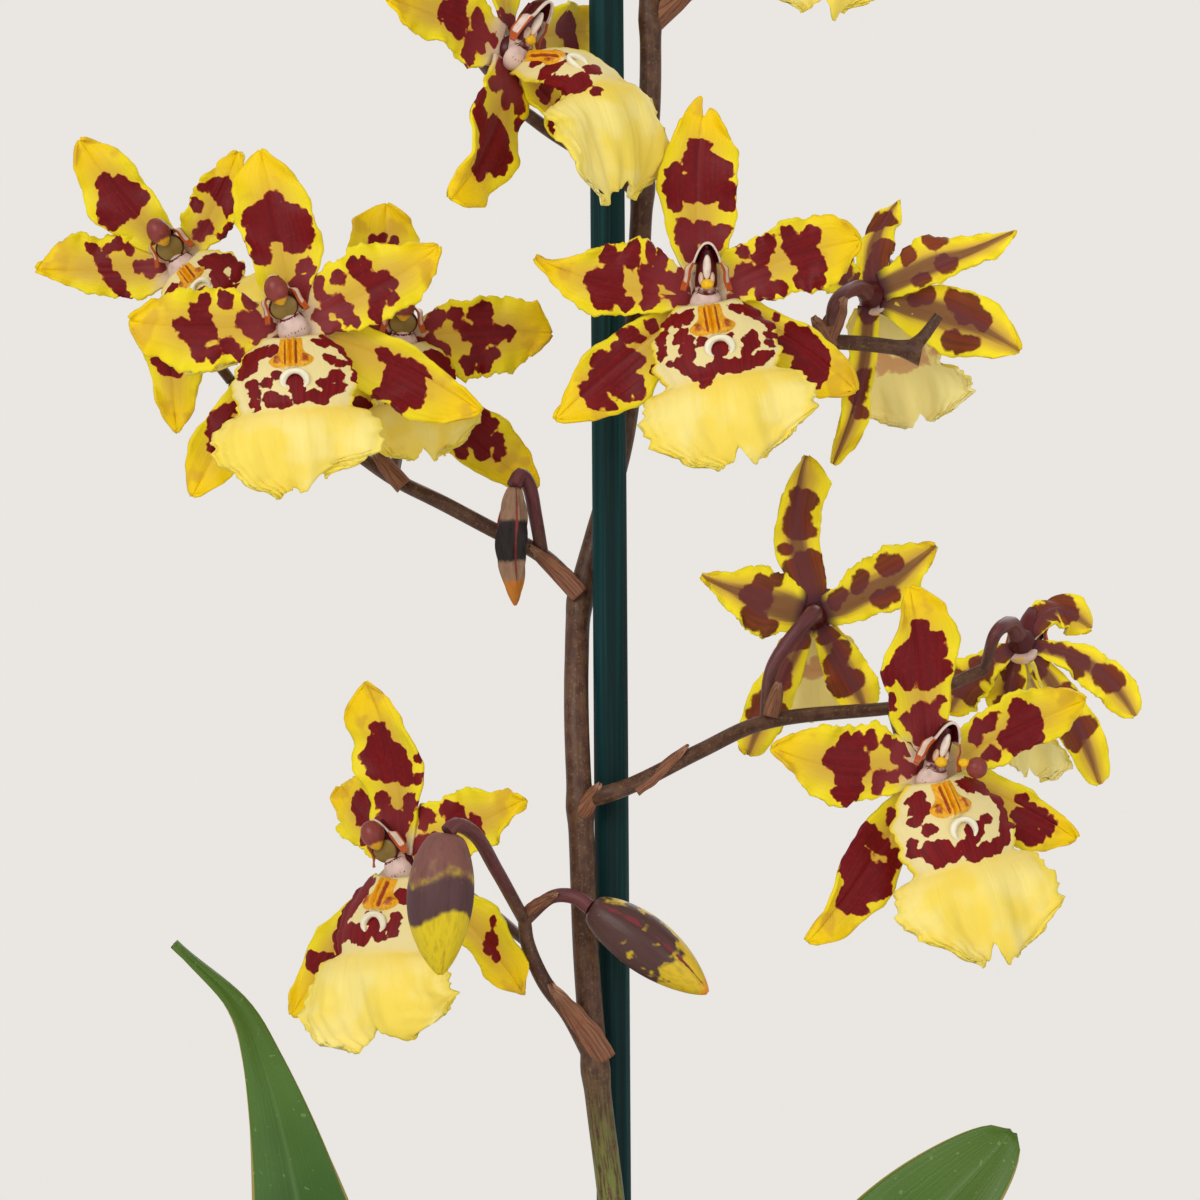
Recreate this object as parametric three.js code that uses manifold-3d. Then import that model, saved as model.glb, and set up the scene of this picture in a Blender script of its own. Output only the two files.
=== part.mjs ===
// Potted cambria orchid: a plain round pot of bark, three pseudobulbs with strap leaves, and one tall
// branching spike tied to a green stake, with twelve spotted yellow blooms and a few buds.
// Millimetres, +Z up, origin at the middle of the flat base of the pot. The viewer stands on the -Y side.

import * as THREE from "three";
import { mergeVertices } from "three/addons/utils/BufferGeometryUtils.js";
import Module from "manifold-3d";

const wasm = await Module();
wasm.setup();

// Driving dimensions

const GAP = 0.35; // clear space between pieces that touch in the real plant

const SLIVER = 0.1; // detail finer than this is smoothed away where pieces grow together

const POT = {
  height: 118,
  baseRadius: 47,
  shoulderRadius: 62,
  rimRadius: 66,
  rimHeight: 14,
  wall: 4.5,
  floor: 6,
  sides: 34,
};

const BARK = { top: 103, chips: 22, chipSize: [12.5, 8, 5] };

const STAKE = { bottom: [0.9, 0, 12], top: [-2.7, 0, 574], radius: 3.15, sides: 14 };

const TEPAL = { thickness: 0.7, rows: 5, columns: 2, claw: 0.13 };

const LIP = { thickness: 0.7, rows: 6, columns: 6 };

const LEAF = { thickness: 1.1, rows: 11, columns: 2 };

const HUB = { radius: 2.8, behind: 1.4, depth: 3.9 }; // where the tepals of a bloom join

// Half width of the lip along its length: narrow neck, two side lobes, waist, wide skirt, rounded end.
const LIP_OUTLINE = [
  [0, 2.0],
  [0.12, 5.6],
  [0.25, 10.0],
  [0.34, 10.9],
  [0.42, 10.6],
  [0.5, 14.4],
  [0.6, 15.4],
  [0.74, 14.4],
  [0.88, 10.4],
  [1, 4.2],
];

const COLOURS = {
  glaze: 0xe9e4da,
  bark: 0x5a3a25,
  bulb: 0x7f9440,
  leaf: 0x3d6b2a,
  stake: 0x0d4a45,
  clip: 0x2f6f5a,
  stem: 0x6b4a35,
  tepal: 0xe0bf1c,
  lip: 0xf0e07a,
  bud: 0x8a5a2e,
  driedBud: 0x4f2418,
};

// Directions and curves

const vec = (p) => new THREE.Vector3(p[0], p[1], p[2]);
const turn = (degrees) => THREE.MathUtils.degToRad(degrees);

// A facing direction: yaw 0 looks at the viewer, positive yaw to the viewer's right, positive pitch up.
function facingOf(yaw, pitch) {
  return new THREE.Vector3(
    Math.sin(turn(yaw)) * Math.cos(turn(pitch)),
    -Math.cos(turn(yaw)) * Math.cos(turn(pitch)),
    Math.sin(turn(pitch)),
  );
}

// The part of a direction that stands square to another one.
function squareTo(direction, axis) {
  return direction.clone().addScaledVector(axis, -direction.dot(axis)).normalize();
}

function smoothProfile(points, v) {
  let k = 0;
  while (k < points.length - 2 && v > points[k + 1][0]) {
    k += 1;
  }
  const [v0, w0] = points[k];
  const [v1, w1] = points[k + 1];
  const t = THREE.MathUtils.clamp((v - v0) / (v1 - v0), 0, 1);
  return w0 + (w1 - w0) * t * t * (3 - 2 * t);
}

// Solids

function solidOf(geometry) {
  const bare = geometry.clone();
  bare.deleteAttribute("normal");
  bare.deleteAttribute("uv");
  const merged = mergeVertices(bare, 1e-4);
  return new wasm.Manifold(
    new wasm.Mesh({
      numProp: 3,
      vertProperties: merged.attributes.position.array,
      triVerts: new Uint32Array(merged.index.array),
    }),
  );
}

function geometryOf(solid) {
  const mesh = solid.getMesh();
  const geometry = new THREE.BufferGeometry();
  geometry.setAttribute("position", new THREE.BufferAttribute(mesh.vertProperties, 3));
  geometry.setIndex(new THREE.BufferAttribute(mesh.triVerts, 1));
  geometry.computeVertexNormals();
  return geometry;
}

function unite(solids) {
  return solids.reduce((whole, next) => whole.add(next));
}

// One grown body from several, without the slivers and specks that crossing faces leave.
function join(solids, sliver = SLIVER) {
  const bodies = unite(solids).simplify(sliver).decompose();
  return bodies.sort((a, b) => b.volume() - a.volume())[0];
}

function indexed(points, faces) {
  const geometry = new THREE.BufferGeometry();
  geometry.setAttribute(
    "position",
    new THREE.Float32BufferAttribute(points.flatMap((p) => p.toArray()), 3),
  );
  geometry.setIndex(faces);
  return geometry;
}

// A closed sheet of even thickness on a surface of u (-1 to 1 across) and v (0 to 1 along).
// Both faces are split into triangles alike.
function sheet(surface, rows, columns, thickness) {
  const front = [];
  const back = [];
  const step = 1e-3;
  for (let i = 0; i <= rows; i += 1) {
    for (let j = 0; j <= columns; j += 1) {
      const v = i / rows;
      const u = (2 * j) / columns - 1;
      const across = surface(u + step, v).sub(surface(u - step, v));
      const along = surface(u, v + step).sub(surface(u, v - step));
      const out = across.cross(along).normalize().multiplyScalar(thickness / 2);
      const middle = surface(u, v);
      front.push(middle.clone().add(out));
      back.push(middle.clone().sub(out));
    }
  }
  const width = columns + 1;
  const behind = front.length;
  const faces = [];
  for (let i = 0; i < rows; i += 1) {
    for (let j = 0; j < columns; j += 1) {
      const a = i * width + j;
      const b = a + 1;
      const c = b + width;
      const d = a + width;
      faces.push(a, b, c, a, c, d);
      faces.push(behind + a, behind + c, behind + b, behind + a, behind + d, behind + c);
    }
  }
  const rim = [];
  for (let j = 0; j < columns; j += 1) rim.push(j);
  for (let i = 0; i < rows; i += 1) rim.push(i * width + columns);
  for (let j = columns; j > 0; j -= 1) rim.push(rows * width + j);
  for (let i = rows; i > 0; i -= 1) rim.push(i * width);
  rim.forEach((p, k) => {
    const q = rim[(k + 1) % rim.length];
    faces.push(p, behind + p, behind + q, p, behind + q, q);
  });
  return solidOf(indexed([...front, ...back], faces));
}

// A round limb through given points, with a radius at each of them.
function limb(points, radii, segments, sides) {
  const curve = new THREE.CatmullRomCurve3(points.map(vec), false, "centripetal");
  const frames = curve.computeFrenetFrames(segments, false);
  const rings = [];
  for (let i = 0; i <= segments; i += 1) {
    const centre = curve.getPointAt(i / segments);
    const at = curve.getUtoTmapping(i / segments) * (points.length - 1);
    const k = Math.min(Math.floor(at), points.length - 2);
    const radius = THREE.MathUtils.lerp(radii[k], radii[k + 1], at - k);
    for (let j = 0; j < sides; j += 1) {
      const angle = (2 * Math.PI * j) / sides;
      rings.push(
        centre
          .clone()
          .addScaledVector(frames.normals[i], radius * Math.cos(angle))
          .addScaledVector(frames.binormals[i], radius * Math.sin(angle)),
      );
    }
  }
  const faces = [];
  for (let i = 0; i < segments; i += 1) {
    for (let j = 0; j < sides; j += 1) {
      const a = i * sides + j;
      const b = i * sides + ((j + 1) % sides);
      faces.push(a, b, b + sides, a, b + sides, a + sides);
    }
  }
  const last = segments * sides;
  for (let j = 1; j < sides - 1; j += 1) {
    faces.push(0, j + 1, j);
    faces.push(last, last + j, last + j + 1);
  }
  return solidOf(indexed(rings, faces));
}

function ball(centre, radii, wide, high) {
  const geometry = new THREE.SphereGeometry(1, wide, high);
  geometry.scale(radii[0], radii[1], radii[2]);
  geometry.translate(centre.x, centre.y, centre.z);
  return solidOf(geometry);
}

// Blades: tepals, lips, leaves and bracts are sheets along a curved spine.

// Spine from base to tip, bowed by an offset at its middle. The blade faces "facing", rolled by turn and twist.
function spineOf({ base, tip, bow, facing, roll, twist }) {
  const middle = base.clone().add(tip).multiplyScalar(0.5).addScaledVector(bow, 2);
  const curve = new THREE.QuadraticBezierCurve3(base, middle, tip);
  return (v) => {
    const along = curve.getTangent(THREE.MathUtils.clamp(v, 0, 1));
    const out = squareTo(facing, along);
    const across = along.clone().cross(out);
    const angle = turn(roll + twist * v);
    return {
      point: curve.getPoint(THREE.MathUtils.clamp(v, 0, 1)),
      across: across.clone().multiplyScalar(Math.cos(angle)).addScaledVector(out, Math.sin(angle)),
      out: across.clone().multiplyScalar(-Math.sin(angle)).addScaledVector(out, Math.cos(angle)),
    };
  };
}

// Narrow claw, broad middle, short pointed end.
function tepalHalfWidth(v, width) {
  const rise = (Math.max(v, 0) ** 0.95 * Math.max(1 - v, 0) ** 0.5) / 0.516;
  return (width / 2) * (TEPAL.claw * Math.max(1 - v, 0) ** 3 + rise) + 0.45;
}

function tepal(bloom, part) {
  const heart = vec(bloom.heart);
  const facing = facingOf(bloom.yaw, bloom.pitch);
  const spine = spineOf({
    base: heart
      .clone()
      .addScaledVector(facing, -HUB.behind)
      .addScaledVector(vec(part.tip).normalize(), 0.7 * HUB.radius),
    tip: heart.clone().add(vec(part.tip)),
    bow: vec(part.bow ?? [0, 0, 0]),
    facing,
    roll: part.roll ?? 0,
    twist: part.twist ?? 0,
  });
  const wave = part.wave ?? 1.1;
  const surface = (u, v) => {
    const { point, across, out } = spine(v);
    const half = tepalHalfWidth(v, part.width);
    const ruffle = wave * u * u * Math.sin(2 * Math.PI * (2.6 * v + 0.31 * u) + part.width);
    return point
      .addScaledVector(across, u * half * (1 + 0.05 * Math.sin(17 * v + 2 * u)))
      .addScaledVector(out, (part.cup ?? 0.12) * half * u * u + ruffle * Math.min(1, 2 * v));
  };
  return sheet(surface, TEPAL.rows, TEPAL.columns, TEPAL.thickness);
}

function lip(bloom) {
  const part = bloom.lip;
  const heart = vec(bloom.heart);
  const facing = facingOf(bloom.yaw, bloom.pitch);
  const tip = vec(part.tip);
  const down = squareTo(tip, facing);
  const spine = spineOf({
    base: heart.clone().addScaledVector(facing, 2.6).addScaledVector(down, 2.8),
    tip: heart.clone().add(tip),
    bow: vec(part.bow ?? [0, 0, 0]).addScaledVector(facing, part.arch ?? 3.5),
    facing: facing.clone().addScaledVector(down, 0.35),
    roll: part.roll ?? 0,
    twist: part.twist ?? 0,
  });
  const surface = (u, v) => {
    const notch = 1 - 0.09 * (1 - Math.abs(u)) ** 2 * v ** 4;
    const { point, across, out } = spine(v * notch);
    const half = smoothProfile(LIP_OUTLINE, v) * part.scale;
    const skirt = THREE.MathUtils.smoothstep(v, 0.45, 0.8);
    const fold = 1.5 * skirt * Math.sin(2.4 * Math.PI * u + part.scale * 9);
    const collar = 1 - skirt;
    return point
      .addScaledVector(across, u * half)
      .addScaledVector(out, (-0.34 * collar - 0.12 * skirt) * half * u * u + fold);
  };
  return sheet(surface, LIP.rows, LIP.columns, LIP.thickness);
}

// The hub and column: a short club that ends in an anther cap, spread into a thin wing on each side.
function column(bloom) {
  const heart = vec(bloom.heart);
  const facing = facingOf(bloom.yaw, bloom.pitch);
  const rise = squareTo(vec(bloom.column ?? [0, 0, 1]), facing);
  const axis = rise.clone().multiplyScalar(0.8).addScaledVector(facing, 0.6);
  const side = axis.clone().cross(facing).normalize();
  const club = limb(
    [
      heart.clone().addScaledVector(facing, -HUB.depth).toArray(),
      heart.clone().addScaledVector(facing, -HUB.behind).toArray(),
      heart.clone().addScaledVector(axis, 3.4).toArray(),
      heart.clone().addScaledVector(axis, 8.4).toArray(),
    ],
    [1.5, HUB.radius, 1.8, 2.1],
    4,
    6,
  );
  const cap = new THREE.SphereGeometry(1, 6, 4);
  cap.scale(3.7, 2.6, 1.5);
  cap.applyMatrix4(new THREE.Matrix4().makeBasis(side, axis, side.clone().cross(axis)));
  const end = heart.clone().addScaledVector(axis, 8.6);
  cap.translate(end.x, end.y, end.z);
  return join([club, solidOf(cap)]);
}

// Blooms. Tips are offsets from the heart of the bloom: right, away, up.

const BLOOMS = {
  bloom_a: {
    heart: [-18.6, -20, 529],
    yaw: 55,
    pitch: -5,
    column: [0.3, 0, 1],
    tepals: {
      dorsal: { tip: [1, 4, 33], bow: [-2, 0, 0], width: 14 },
      petal_l: { tip: [-21.5, -20, 7], bow: [0, 0, 0.4], width: 14 },
      petal_r: { tip: [17, 35, 7], bow: [-2, 2, 1], width: 13 },
      sepal_l: { tip: [-11, -11, -27], bow: [2.8, 1, 0], width: 12.6 },
      sepal_r: { tip: [13, 6, -16], bow: [0, 1, -0.4], width: 11 },
    },
    lip: { tip: [23.5, -13, -22.5], bow: [-1, -2, 4.5], scale: 1.0 },
  },
  bloom_b: {
    heart: [15, -24, 485.3],
    yaw: 2,
    pitch: 2,
    tepals: {
      dorsal: { tip: [1, 3, 35], bow: [-2.4, -1, 0], width: 15.2 },
      petal_l: { tip: [-30, 1, 7], bow: [0, -1, -1.8], width: 13 },
      petal_r: { tip: [27.2, 1, 10], bow: [-1, -1, 1.2], width: 13.2 },
      sepal_l: { tip: [-26.5, 2, -21.5], bow: [0.5, 1, 1.5], width: 13.4 },
      sepal_r: { tip: [26.5, 2, -16.5], bow: [0.5, 1, 1.8], width: 13.6 },
    },
    lip: { tip: [6.5, -8, -29.5], bow: [-0.6, 0, 0], scale: 1.0 },
  },
  bloom_c: {
    heart: [-58, -22, 480.8],
    yaw: -3,
    pitch: 4,
    tepals: {
      dorsal: { tip: [-5.5, 2, 30.5], bow: [0.6, -1, 0], width: 16.4 },
      petal_l: { tip: [-28.5, 1, 0.5], bow: [0, -1, -1], width: 14.6 },
      petal_r: { tip: [26, 1, 13.5], bow: [1, -1, -1], width: 14.4 },
      sepal_l: { tip: [-17.5, 3, -30.5], bow: [-0.5, 1, 0.5], width: 12.4 },
      sepal_r: { tip: [33.5, 2, -15.5], bow: [0.6, 1, 1.5], width: 14 },
    },
    lip: { tip: [2.2, -8, -30.5], bow: [0, 0, 0], scale: 0.98 },
  },
  bloom_d: {
    heart: [-79.5, 6, 493],
    yaw: -12,
    pitch: 8,
    column: [-0.6, 0, 1],
    tepals: {
      dorsal: { tip: [-18.5, 2, 22.5], bow: [-0.4, 0, -0.6], width: 14 },
      petal_l: { tip: [-26.5, 3, -1], bow: [0, 0, -0.4], width: 13.2 },
      petal_r: { tip: [10.5, -2, 20], bow: [0, 0, -1], width: 11 },
      sepal_l: { tip: [-1, 5, -30.5], bow: [-1.5, 1, 0], width: 11.6 },
      sepal_r: { tip: [20, 0, -12], bow: [0, 1, 0], width: 11 },
    },
    lip: { tip: [13.5, -6, -16.5], bow: [0, 0, 0], scale: 0.78, arch: 2.5 },
  },
  bloom_e: {
    heart: [-39.4, 7, 479.4],
    yaw: 4,
    pitch: 2,
    tepals: {
      dorsal: { tip: [-3, 2, 24.5], bow: [-1, -1, 0], width: 15.5 },
      petal_l: { tip: [-21, 2, 6], bow: [0, -1, 0], width: 12.6 },
      petal_r: { tip: [27, 2, 1], bow: [0, -1, 1], width: 14.8 },
      sepal_l: { tip: [-8, -1, -19], bow: [0, 1, 0], width: 11 },
      sepal_r: { tip: [24.5, 2, -27], bow: [-1.6, 1, -1.8], width: 12.4 },
    },
    lip: { tip: [4.5, -6, -22], bow: [0, 0, 0], scale: 0.72, arch: 2.5 },
  },
  bloom_f: {
    heart: [46.3, 13, 487.4],
    yaw: 155,
    pitch: -8,
    tepals: {
      dorsal: { tip: [4.8, 6, 17.5], bow: [-1.8, 0, 0.4], width: 8.8 },
      petal_l: { tip: [25.5, -4, 11.5], bow: [0, -1, -0.2], width: 9.4 },
      petal_r: { tip: [-13, 12, 8], bow: [0, 0, 0.6], width: 10 },
      sepal_l: { tip: [26.5, -2, -10], bow: [0.5, 0, 1.4], width: 12 },
      sepal_r: { tip: [-7.2, 4, -30.5], bow: [1.8, 0, 0], width: 7.4, roll: 25 },
    },
    lip: { tip: [9.5, 12, -23], bow: [0, 0, 0], scale: 0.76 },
  },
  bloom_g: {
    heart: [35.3, 10, 428.9],
    yaw: 176,
    pitch: -4,
    tepals: {
      dorsal: { tip: [-1.2, 3, 29.3], bow: [-2.6, 0, 0], width: 10 },
      petal_l: { tip: [22, -2, 13], bow: [0.5, 0, -1.4], width: 11.4 },
      petal_r: { tip: [-20.5, -1, 7.5], bow: [0, 0, -0.6], width: 11.8 },
      sepal_l: { tip: [9.5, -1, -17.5], bow: [0.5, 0, 0], width: 10 },
      sepal_r: { tip: [-12, 0, -25], bow: [-0.6, 0, 0], width: 9 },
    },
    lip: { tip: [1.5, 11, -19], bow: [0, 0, 0], scale: 0.72 },
  },
  bloom_h: {
    heart: [54.7, -26, 401.8],
    yaw: 18,
    pitch: 0,
    column: [0.75, 0, 1],
    tepals: {
      dorsal: { tip: [-4, 2, 32.5], bow: [0.6, -1, 0], width: 15.4 },
      petal_l: { tip: [-28.5, -7, 4.5], bow: [0, -1, -1.6], width: 14 },
      petal_r: { tip: [27.5, 9, 12.5], bow: [0, -1, 0.4], width: 13 },
      sepal_l: { tip: [-22, -3, -29.5], bow: [1.2, 1, 0], width: 12 },
      sepal_r: { tip: [26, 9, -12], bow: [0, 1, 1.4], width: 13 },
    },
    lip: { tip: [9.5, -7, -33], bow: [0.6, 0, 0.6], scale: 0.97 },
  },
  bloom_i: {
    heart: [73.4, 11, 423.9],
    yaw: 158,
    pitch: -28,
    tepals: {
      dorsal: { tip: [13, 8, 3], bow: [-1, 1, 4], width: 9 },
      petal_l: { tip: [20.5, 2, -13], bow: [1.7, 0, 2.5], width: 8.4 },
      petal_r: { tip: [-13, 4, -12.5], bow: [-1.4, 0, 1], width: 10.6 },
      sepal_l: { tip: [14.5, 6, -25.5], bow: [1.4, 0, 0.6], width: 8.4 },
      sepal_r: { tip: [-3, 5, -17], bow: [-0.6, 0, 0], width: 9 },
    },
    lip: { tip: [3, 20, -24.5], bow: [0, 1, 0], scale: 0.6, arch: 2 },
  },
  bloom_j: {
    heart: [-39.6, -8, 384.7],
    yaw: -36,
    pitch: 4,
    column: [-0.5, 0, 1],
    tepals: {
      dorsal: { tip: [-5.8, 2, 32.6], bow: [2, 0, 0], width: 13.8 },
      petal_l: { tip: [-11, 19, 13.5], bow: [-0.5, 0, 0], width: 12 },
      petal_r: { tip: [22.8, -11, 12], bow: [0.4, 0, 0.6], width: 12 },
      sepal_l: { tip: [-19.5, 9, -27.5], bow: [-1, 1, 0], width: 10 },
      sepal_r: { tip: [22.5, -6, -22.5], bow: [1.2, 0, 0.4], width: 11.6 },
    },
    lip: { tip: [-2.6, -8, -31], bow: [-1.2, 0, 0], scale: 1.02 },
  },
  bloom_k: {
    heart: [33, -6, 566],
    yaw: 22,
    pitch: 4,
    tepals: {
      dorsal: { tip: [0, 4, 33], bow: [1, -1, 0], width: 14 },
      petal_l: { tip: [-27, -8, 9], bow: [0, -1, 1], width: 13.4 },
      petal_r: { tip: [27, 12, 10], bow: [0, -1, 1], width: 13.4 },
      sepal_l: { tip: [-21, -4, -24], bow: [0, 1, 0], width: 12.4 },
      sepal_r: { tip: [23, 12, -21], bow: [0, 1, 0], width: 12.4 },
    },
    lip: { tip: [3, -9, -30], bow: [0, 0, 0], scale: 0.94 },
  },
  bloom_l: {
    heart: [-33, 4, 592],
    yaw: -24,
    pitch: 6,
    tepals: {
      dorsal: { tip: [-3, 4, 31], bow: [1, -1, 0], width: 13.4 },
      petal_l: { tip: [-26, 10, 6], bow: [0, -1, -1], width: 12.8 },
      petal_r: { tip: [24, -8, 11], bow: [0, -1, 0], width: 12.8 },
      sepal_l: { tip: [-20, 8, -24], bow: [0, 1, 0], width: 12 },
      sepal_r: { tip: [19, -6, -23], bow: [0, 1, 0], width: 12 },
    },
    lip: { tip: [-3, -8, -29], bow: [0, 0, 0], scale: 0.9 },
  },
};

function tepalsOf(bloom) {
  return join([column(bloom), ...Object.values(bloom.tepals).map((part) => tepal(bloom, part))]);
}

// Where the stalk of a bloom ends, just clear of the back of its hub, and the point it comes in through.
function stalkEnd(bloom) {
  const facing = facingOf(bloom.yaw, bloom.pitch);
  const heart = vec(bloom.heart);
  const end = heart.clone().addScaledVector(facing, -HUB.depth - GAP);
  const before = end.clone().addScaledVector(facing, -4);
  return [before.toArray(), end.toArray()];
}

// Spike: one grown piece of stem, side branches, bloom stalks and papery bracts.

const STEM = [
  [12, -13, 88, 2.7],
  [10, -12, 150, 2.7],
  [6, -9.5, 230, 2.6],
  [2, -8, 290, 2.5],
  [-1.5, -7.4, 324, 2.4],
  [-4.2, -7, 346, 2.4],
  [-6, -5.8, 367, 2.35],
  [-6.9, -5, 389, 2.3],
  [-7.8, -3, 410, 2.25],
  [-7.8, 0.6, 421, 2.2],
  [-7.2, 5, 432, 2.2],
  [-4.4, 7, 443, 2.15],
  [-1.2, 7.4, 454, 2.1],
  [0.8, 7.2, 463, 2.1],
  [2.6, 6.6, 478, 2.05],
  [4, 5.6, 504, 2],
  [5.4, 4.8, 522, 2],
  [5.4, 4.4, 540, 1.9],
  [4.4, 4.2, 560, 1.7],
  [2.6, 4, 580, 1.5],
  [3.4, 3, 600, 1.3],
  [7, 1, 616, 1.1],
];

const BRANCHES = {
  first_left: {
    path: [[-4.6, -7, 350], [-9, -9, 358], [-13.5, -11, 364], [-16.5, -12, 371], [-17, -13, 375]],
    radii: [1.9, 1.6, 1.4, 1.3, 1.2],
  },
  first_right: {
    path: [[-7.2, -4, 396], [-2, -9, 397.5], [2.2, -8, 399], [14.4, -5, 405], [26, 0, 410], [49, 3, 412.5]],
    radii: [1.7, 1.6, 1.5, 1.4, 1.4, 1.2],
  },
  first_right_end: {
    path: [[49, 3, 412.5], [58, 4, 416], [66, 4.5, 419.5]],
    radii: [1.2, 1.15, 1.1],
  },
  second_left: {
    path: [[-7.6, 4, 433.6], [-14, 3, 440], [-23.5, 2, 445], [-32, 3, 449.5], [-41, 8, 454], [-50, 14, 460], [-71, 15, 472]],
    radii: [1.7, 1.5, 1.4, 1.4, 1.3, 1.2, 1.1],
  },
  second_right: {
    path: [[2.6, 6.6, 474], [14, 3, 477], [38, 1, 478.5], [55, 0, 477]],
    radii: [1.7, 1.5, 1.4, 1.5],
  },
  third_left: {
    path: [[4.4, 5.8, 508], [-2, 9, 511], [-11.5, 4, 516], [-17.5, 0, 520]],
    radii: [1.6, 1.4, 1.3, 1.2],
  },
  third_right: {
    path: [[5.2, 4.6, 538], [11, 6, 541], [20, 7, 546], [27, 6, 552]],
    radii: [1.5, 1.3, 1.2, 1.1],
  },
  fourth_left: {
    path: [[3.6, 4.2, 566], [-4, 8, 570], [-14, 13, 577], [-22, 15, 584]],
    radii: [1.4, 1.2, 1.1, 1],
  },
};

const STALKS = {
  bloom_a: [[-17.5, 0, 520], [-21, -4, 524]],
  bloom_b: [[14, 3, 477], [15, -4, 483]],
  bloom_c: [[-50, 14, 460], [-56, 10, 467], [-58.5, -3, 476.5]],
  bloom_d: [[-71, 15, 472], [-78, 18, 482]],
  bloom_e: [[-41, 8, 454], [-40, 20, 466]],
  bloom_f: [[38, 1, 478.5], [38.5, -2, 485]],
  bloom_g: [[26, 0, 410], [27.5, 0, 420]],
  bloom_h: [[49, 3, 412.5], [51, -8, 405]],
  bloom_i: [[66, 4.5, 419.5], [67.5, -2, 426]],
  bloom_j: [[-16.5, -12, 371], [-22, -4, 375], [-31, 2, 381]],
  bloom_k: [[27, 6, 552], [30, 9, 560]],
  bloom_l: [[-22, 15, 584], [-28, 16, 590]],
};

const BRACTS = [
  { base: [-3.4, -9.4, 349.4], tip: [-12.6, -12.8, 364], facing: [-0.4, -1, -0.5], width: 6.4 },
  { base: [-8, -6.6, 393], tip: [-3.4, -9.8, 399.4], facing: [0, -1, 0.4], width: 4 },
  { base: [2.4, -9, 398.4], tip: [12, -6.8, 405.8], facing: [-0.2, -1, 0.4], width: 3.4 },
  { base: [-7.8, 1.4, 432.4], tip: [-16.6, 1.2, 442], facing: [-0.3, -1, -0.7], width: 5 },
  { base: [-39, 4.6, 452.8], tip: [-45, 6.6, 459.6], facing: [0, -1, 0.3], width: 4 },
  { base: [4.2, 4, 504.6], tip: [-5, 5.4, 515.4], facing: [0, -1, -0.4], width: 5 },
  { base: [5.6, 2.9, 535.6], tip: [14.5, 4.6, 544], facing: [0.2, -1, -0.3], width: 6 },
  { base: [36.5, -0.6, 477.6], tip: [40.5, -3, 486.5], facing: [0.2, -1, 0.3], width: 5 },
  { base: [4.2, 2.9, 563], tip: [-4.4, 5.4, 573], facing: [-0.2, -1, -0.3], width: 5 },
];

function bract({ base, tip, facing, width }) {
  const spine = spineOf({
    base: vec(base),
    tip: vec(tip),
    bow: new THREE.Vector3(),
    facing: vec(facing).normalize(),
    roll: 0,
    twist: 0,
  });
  const surface = (u, v) => {
    const { point, across, out } = spine(v);
    const half = (width / 2) * Math.max(1 - v, 0) ** 0.8 + 0.4;
    return point.addScaledVector(across, u * half).addScaledVector(out, -0.42 * half * u * u);
  };
  return sheet(surface, 2, 2, 0.7);
}

function spike() {
  const stem = limb(
    STEM.map((p) => p.slice(0, 3)),
    STEM.map((p) => p[3]),
    28,
    6,
  );
  const branches = Object.values(BRANCHES).map(({ path, radii }) =>
    limb(path, radii, path.length + 1, 5),
  );
  const stalks = Object.entries(STALKS).map(([name, via]) => {
    const path = [...via, ...stalkEnd(BLOOMS[name])];
    const radii = path.map((_, k) => 0.95 + (0.75 * k) / (path.length - 1));
    return limb(path, radii, 4, 5);
  });
  const buds = Object.values(BUDS).map(({ from, path }) => {
    const tip = vec(path[0]);
    const heading = vec(path[1]).sub(tip).normalize();
    const end = tip.clone().addScaledVector(heading, -3 * GAP).toArray();
    const points = [...from, end];
    return limb(points, points.map((_, k) => 1.1 - (0.15 * k) / points.length), 4, 5);
  });
  return join([stem, ...branches, ...stalks, ...buds, ...BRACTS.map(bract)], 0.16);
}

// Buds: "from" is the stalk, "path" the line of the bud itself, "radii" its swelling.

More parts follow.
